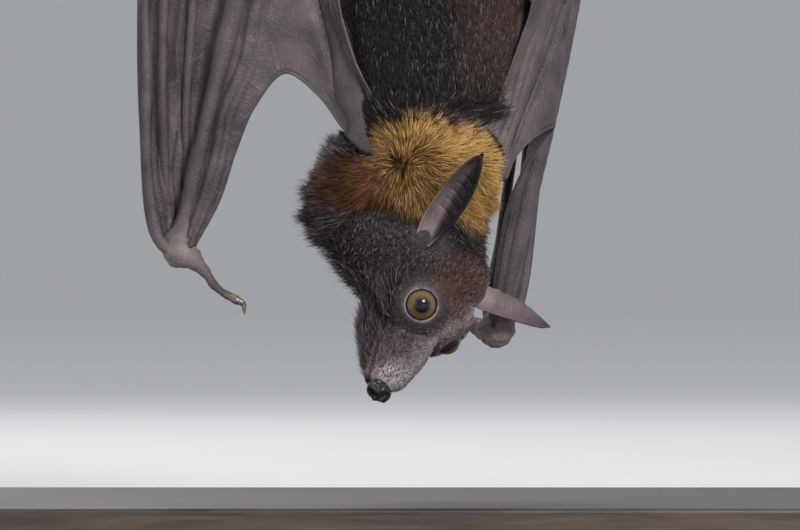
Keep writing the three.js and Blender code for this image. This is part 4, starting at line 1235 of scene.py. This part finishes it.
# Each toe's hook: degrees round the branch, and how far it lifts off it.
HOOK_BENDS = ((112, 0.4), (126, 0.7), (142, 1.5), (160, 1.2), (179, -0.7))
THUMB_CLAWS = {
    "right": [(-64.5, -3.7, 87.4), (-60.6, -4, 85.2), (-58, -4.5, 83.6), (-57.4, -4.5, 79.8)],
    "left": [(12, 46, 87.2), (8.5, 46, 89.2), (4, 45.5, 91), (0.5, 44, 87.5)],
}


def round_perch(x, distance, degrees):
    """A point round the branch's axis: 0 degrees is towards -Y and 90 is on top."""
    turn = math.radians(degrees)
    return x, PERCH_Y - distance * math.cos(turn), PERCH_Z + distance * math.sin(turn)


claw_finish, tree, shader, place = new_material(
    "claw_horn", roughness=0.28, Coat_Weight=0.35, Coat_Roughness=0.15)
growth = noise(tree, place, 900.0, 3.0)["Fac"]
horn = colour_ramp(tree, growth, (0.35, (0.055, 0.040, 0.030)), (0.70, (0.20, 0.155, 0.115)))
tree.links.new(horn, shader.inputs["Base Color"])
bumped(tree, shader, growth, 0.3, 0.0002)
for name, wing in WINGS.items():
    claw_mesh = tube(THUMB_CLAWS[name], [1.5, 1.8, 1.15, 0.3], sides=14, samples=30)
    claw_mesh.shade_smooth()
    claw = add_piece(f"thumb_hook_{name}", claw_mesh, claw_finish)
    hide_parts(f"thumb_claw_{name}")
    hooks = bmesh.new()
    for toe in range(5):
        x = wing["ankle"][0] + (toe - 2) * TOE_SPACING
        line = [round_perch(x, TOE_DISTANCE + lift, turn) for turn, lift in HOOK_BENDS]
        join_in(hooks, tube(line, [1.5, 1.75, 1.5, 1.05, 0.3], sides=12, samples=24))
    hooks_mesh = mesh_from(hooks, "hooks")
    hooks_mesh.shade_smooth()
    toe_hooks = add_piece(f"toe_hooks_{name}", hooks_mesh, claw_finish)


# ---------------------------------------------------------------- branch
# A short sawn length of dead branch with rough furrowed bark, a few knots and two cut ends that
# show its rings. The bat's feet grip its middle.
PERCH_LENGTH = 352
BARK_THICKNESS = 0.9
# The branch is smooth and round where the feet grip it, and rough from this far out.
ROUGH_FROM = (62, 92)
# Each knot's place along the branch, and the side it is on.
KNOTS = ((-118, (0, -1, 0.4)), (96, (0, 0.3, 1)), (141, (0, -1, -0.6)))
log = bmesh.new()
bmesh.ops.create_cone(log, cap_ends=True, cap_tris=False, segments=84, radius1=PERCH_RADIUS * MM,
                      radius2=PERCH_RADIUS * MM, depth=PERCH_LENGTH * MM)
ends = [f for f in log.faces if len(f.verts) > 4]
bmesh.ops.inset_region(log, faces=ends, thickness=BARK_THICKNESS * MM, depth=0)
lengthwise = [e for e in log.edges if abs(e.verts[0].co.z - e.verts[1].co.z) > 0.1]
bmesh.ops.subdivide_edges(log, edges=lengthwise, cuts=220)
laid = Vector((0, 0, 1)).rotation_difference(Vector((1, 0, 0))).to_matrix()
bmesh.ops.rotate(log, cent=(0, 0, 0), matrix=laid, verts=log.verts)
log_mesh = mesh_from(log, "branch")
spots = corners_of(log_mesh)
x = spots[:, 0] / MM
radial = np.hypot(spots[:, 1], spots[:, 2]) / MM
around = unit(np.stack([np.zeros(len(x)), spots[:, 1], spots[:, 2]], 1))
taper = 1.08 - 0.12 * (x / PERCH_LENGTH + 0.5)
away = rise(abs(x), *ROUGH_FROM)
size = 1 + (taper - 1) * away
furrow_place = np.stack([spots[:, 0] * 0.22, *(around[:, 1:] * PERCH_RADIUS * MM).T], 1)
furrows = 0.55 * np.abs(drift(furrow_place, 1.9, 101)) + 0.25 * drift(furrow_place, 0.8, 102)
flakes = 0.22 * drift(spots * (1, 1.5, 1.5), 2.5, 103)
knots = sum(1.3 * np.exp(-(((x - along) / 5) ** 2 + ((around @ unit(np.array(way)) - 1) / 0.10) ** 2))
            for along, way in KNOTS)
rough = (0.35 - furrows - flakes * 0.5) * (0.55 + 0.45 * away) + knots * away
shell = rise(radial, 8.8, 9.4)
bent = np.sin((x / PERCH_LENGTH + 0.5) * 9) * 1.2 * away
width = (radial * size + rough * shell) * MM
ragged = 0.5 * drift(spots, 1.8, 104) * rise(abs(x), PERCH_LENGTH / 2 - 2, PERCH_LENGTH / 2)
set_corners(log_mesh, np.stack([spots[:, 0] - np.sign(x) * abs(ragged) * MM,
                                around[:, 1] * width + PERCH_Y * MM,
                                around[:, 2] * width + (PERCH_Z + bent) * MM], 1))
bark_finish, tree, shader, place = new_material("bark", roughness=0.88)
grain = noise(tree, stretched_place(tree, place, (0.22, 1.0, 1.0)), 420.0, 6.0, Roughness=0.65)["Fac"]
bark_colour = colour_ramp(tree, grain, (0.34, (0.040, 0.027, 0.019)), (0.68, (0.26, 0.20, 0.15)))
lichen = ranged(tree, noise(tree, place, 55.0, 5.0)["Fac"], From_Min=0.56, From_Max=0.68, To_Max=0.55)
LICHEN_GREY = (0.30, 0.31, 0.26, 1)
# Inputs 0, 6 and 7 of this node are the share and the two colours.
greyed = add_node(tree, "ShaderNodeMix", {0: lichen, 6: bark_colour, 7: LICHEN_GREY}, data_type="RGBA")
tree.links.new(greyed.outputs[2], shader.inputs["Base Color"])
bumped(tree, shader, grain, 0.8, 0.0008)
cut_finish, tree, shader, place = new_material("cut_wood", roughness=0.75)
centred = stretched_place(tree, place, (1, 1, 1), Location=(0, -PERCH_Y * MM, -PERCH_Z * MM))
rings = add_node(tree, "ShaderNodeTexWave", {"Vector": centred}, wave_type="RINGS",
                 rings_direction="X", Scale=160.0, Distortion=2.5, Detail=3.0)
wood = colour_ramp(tree, rings.outputs["Fac"], (0, (0.30, 0.19, 0.095)), (1, (0.52, 0.37, 0.21)))
tree.links.new(wood, shader.inputs["Base Color"])
bumped(tree, shader, rings.outputs["Fac"], 0.3, 0.0003)
log_mesh.materials.append(bark_finish)
log_mesh.materials.append(cut_finish)
for face in log_mesh.polygons:
    face.use_smooth = len(face.vertices) <= 4
    at_end = abs(face.center.x) > (PERCH_LENGTH / 2 - 4) * MM
    if len(face.vertices) > 4 or abs(face.normal.x) > 0.9 and at_end:
        face.material_index = 1
branch = add_piece("branch", log_mesh)
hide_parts("perch_branch")


# ---------------------------------------------------------------- stand
# The museum mount: a dark stained board with eased edges, and a brushed steel rod near each end
# that stands in a turned collar and holds the branch from below.
BASE_LENGTH = 360
BASE_WIDTH = 220
BASE_THICKNESS = 12
BASE_CORNER = 18
EASED_EDGE = 1.4
ROD_X = 162
ROD_RADIUS = 5
ROD_TOP = 402.8
# Half the outline of a rod and its collar: radius and height.
ROD_OUTLINE = [(0, 12.0), (11, 12.0), (11, 14.6), (10.4, 15.2), (7.2, 15.2), (6.4, 17.4), (5.6, 18.0),
               (ROD_RADIUS, 18.0), (ROD_RADIUS, ROD_TOP), (0, ROD_TOP)]
board = bmesh.new()
bmesh.ops.create_cube(board, size=1)
board_size = (BASE_LENGTH * MM, BASE_WIDTH * MM, BASE_THICKNESS * MM)
bmesh.ops.scale(board, vec=board_size, verts=board.verts)
bmesh.ops.translate(board, vec=(0, 0, BASE_THICKNESS / 2 * MM), verts=board.verts)
upright = [e for e in board.edges if abs(e.verts[0].co.z - e.verts[1].co.z) > 5 * MM]
bmesh.ops.bevel(board, geom=upright, offset=BASE_CORNER * MM, affect="EDGES", segments=14,
                profile=0.5, material=-1)
brim = [e for e in board.edges if abs(e.verts[0].co.z - e.verts[1].co.z) < MM]
bmesh.ops.bevel(board, geom=brim, offset=EASED_EDGE * MM, affect="EDGES", segments=4, profile=0.5,
                material=-1)
board_mesh = mesh_from(board, "stand_board")
board_finish, tree, shader, place = new_material(
    "stained_wood", roughness=0.42, Coat_Weight=0.15, Coat_Roughness=0.3)
grain = noise(tree, stretched_place(tree, place, (0.06, 1.0, 1.0)), 260.0, 7.0,
              Roughness=0.6, Distortion=0.6)["Fac"]
stain = colour_ramp(tree, grain, (0.36, (0.016, 0.010, 0.007)), (0.66, (0.070, 0.043, 0.028)))
tree.links.new(stain, shader.inputs["Base Color"])
bumped(tree, shader, grain, 0.25, 0.0004)
stand_board = add_piece("stand_board", board_mesh, board_finish)
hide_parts("stand_base")

steel_finish, tree, shader, place = new_material("brushed_steel", (0.55, 0.55, 0.56), 0.30, Metallic=1.0)
brushing = noise(tree, stretched_place(tree, place, (1.0, 1.0, 0.02)), 2200.0, 2.0)["Fac"]
satin = ranged(tree, brushing, To_Min=0.20, To_Max=0.42)
tree.links.new(satin, shader.inputs["Roughness"])
for name, sign in (("right", -1), ("left", 1)):
    foot_x, foot_y = sign * ROD_X * MM, PERCH_Y * MM
    outline = [(foot_x + radius * MM, foot_y, height * MM) for radius, height in ROD_OUTLINE]
    rod_mesh = mesh_from(lathed(outline, (foot_x, foot_y, 0), (0, 0, 1), 48), "rod")
    rod_mesh.shade_smooth()
    rod_mesh.set_sharp_from_angle(angle=math.radians(35))
    stand_rod = add_piece(f"stand_rod_{name}_steel", rod_mesh, steel_finish)
    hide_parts(f"stand_rod_{name}")


# ---------------------------------------------------------------- studio
# A plain pale floor that curves up into a wall far off on every side, a soft key light, a fill,
# one light behind and one overhead, and the camera.
FLOOR_RADIUS = 10.0
WALL_CURVE = 3.0
outline = [(0, 0, 0)]
for turn in np.radians(np.linspace(0, 90, 13)):
    outline.append((FLOOR_RADIUS + WALL_CURVE * math.sin(turn), 0, WALL_CURVE * (1 - math.cos(turn))))
floor_form = lathed(outline, (0, 0, 0), (0, 0, 1), 96)
if min(floor_form.faces, key=lambda f: f.calc_center_median().length).normal.z < 0:
    bmesh.ops.reverse_faces(floor_form, faces=floor_form.faces)
floor_mesh = mesh_from(floor_form, "floor")
floor_mesh.shade_smooth()
floor = bpy.data.objects.new("floor", floor_mesh)
bpy.context.scene.collection.objects.link(floor)
floor_paint = bpy.data.materials.new("floor_paint")
floor_paint.use_nodes = True
floor_shader = floor_paint.node_tree.nodes["Principled BSDF"]
floor_shader.inputs["Base Color"].default_value = (0.72, 0.72, 0.71, 1)
floor_shader.inputs["Roughness"].default_value = 0.9
floor_mesh.materials.append(floor_paint)

scene = bpy.context.scene
# Each light's name, place, what it points at, size in metres and power in watts.
for name, place, aim, size, power in (
        ("key", (0.75, -1.7, 1.0), (0.0, 0.0, 0.16), 0.5, 36),
        ("fill", (-1.5, -1.2, 0.5), (0.0, 0.0, 0.16), 1.2, 5),
        ("back", (-0.6, 1.3, 1.4), (0.0, 0.0, 0.2), 1.0, 14),
        ("overhead", (0.0, 0.0, 6.0), (0.0, 0.0, 0.0), 7.0, 20)):
    lamp = bpy.data.lights.new(name, "AREA")
    lamp.size = size
    lamp.energy = power
    lamp_object = bpy.data.objects.new(name, lamp)
    lamp_object.location = place
    lamp_object.rotation_euler = (Vector(aim) - Vector(place)).to_track_quat("-Z", "Y").to_euler()
    scene.collection.objects.link(lamp_object)
world = bpy.data.worlds.new("studio")
world.use_nodes = True
sky = world.node_tree.nodes["Background"]
sky.inputs["Color"].default_value = (0.9, 0.93, 1.0, 1)
sky.inputs["Strength"].default_value = 0.55
scene.world = world
scene.view_settings.view_transform = "Standard"

# The camera stands level, and sees HALF_VIEW metres to each side of the body.
CAMERA_AWAY = 2.4
CAMERA_HEIGHT = 0.098
HALF_VIEW = 0.148
camera_lens = bpy.data.cameras.new("camera")
camera_lens.sensor_width = 36
camera_lens.lens = camera_lens.sensor_width / 2 * CAMERA_AWAY / HALF_VIEW
camera_lens.clip_end = 40
camera = bpy.data.objects.new("camera", camera_lens)
camera.location = (0, -CAMERA_AWAY, CAMERA_HEIGHT)
camera.rotation_euler = (math.radians(90), 0, 0)
scene.collection.objects.link(camera)
scene.camera = camera
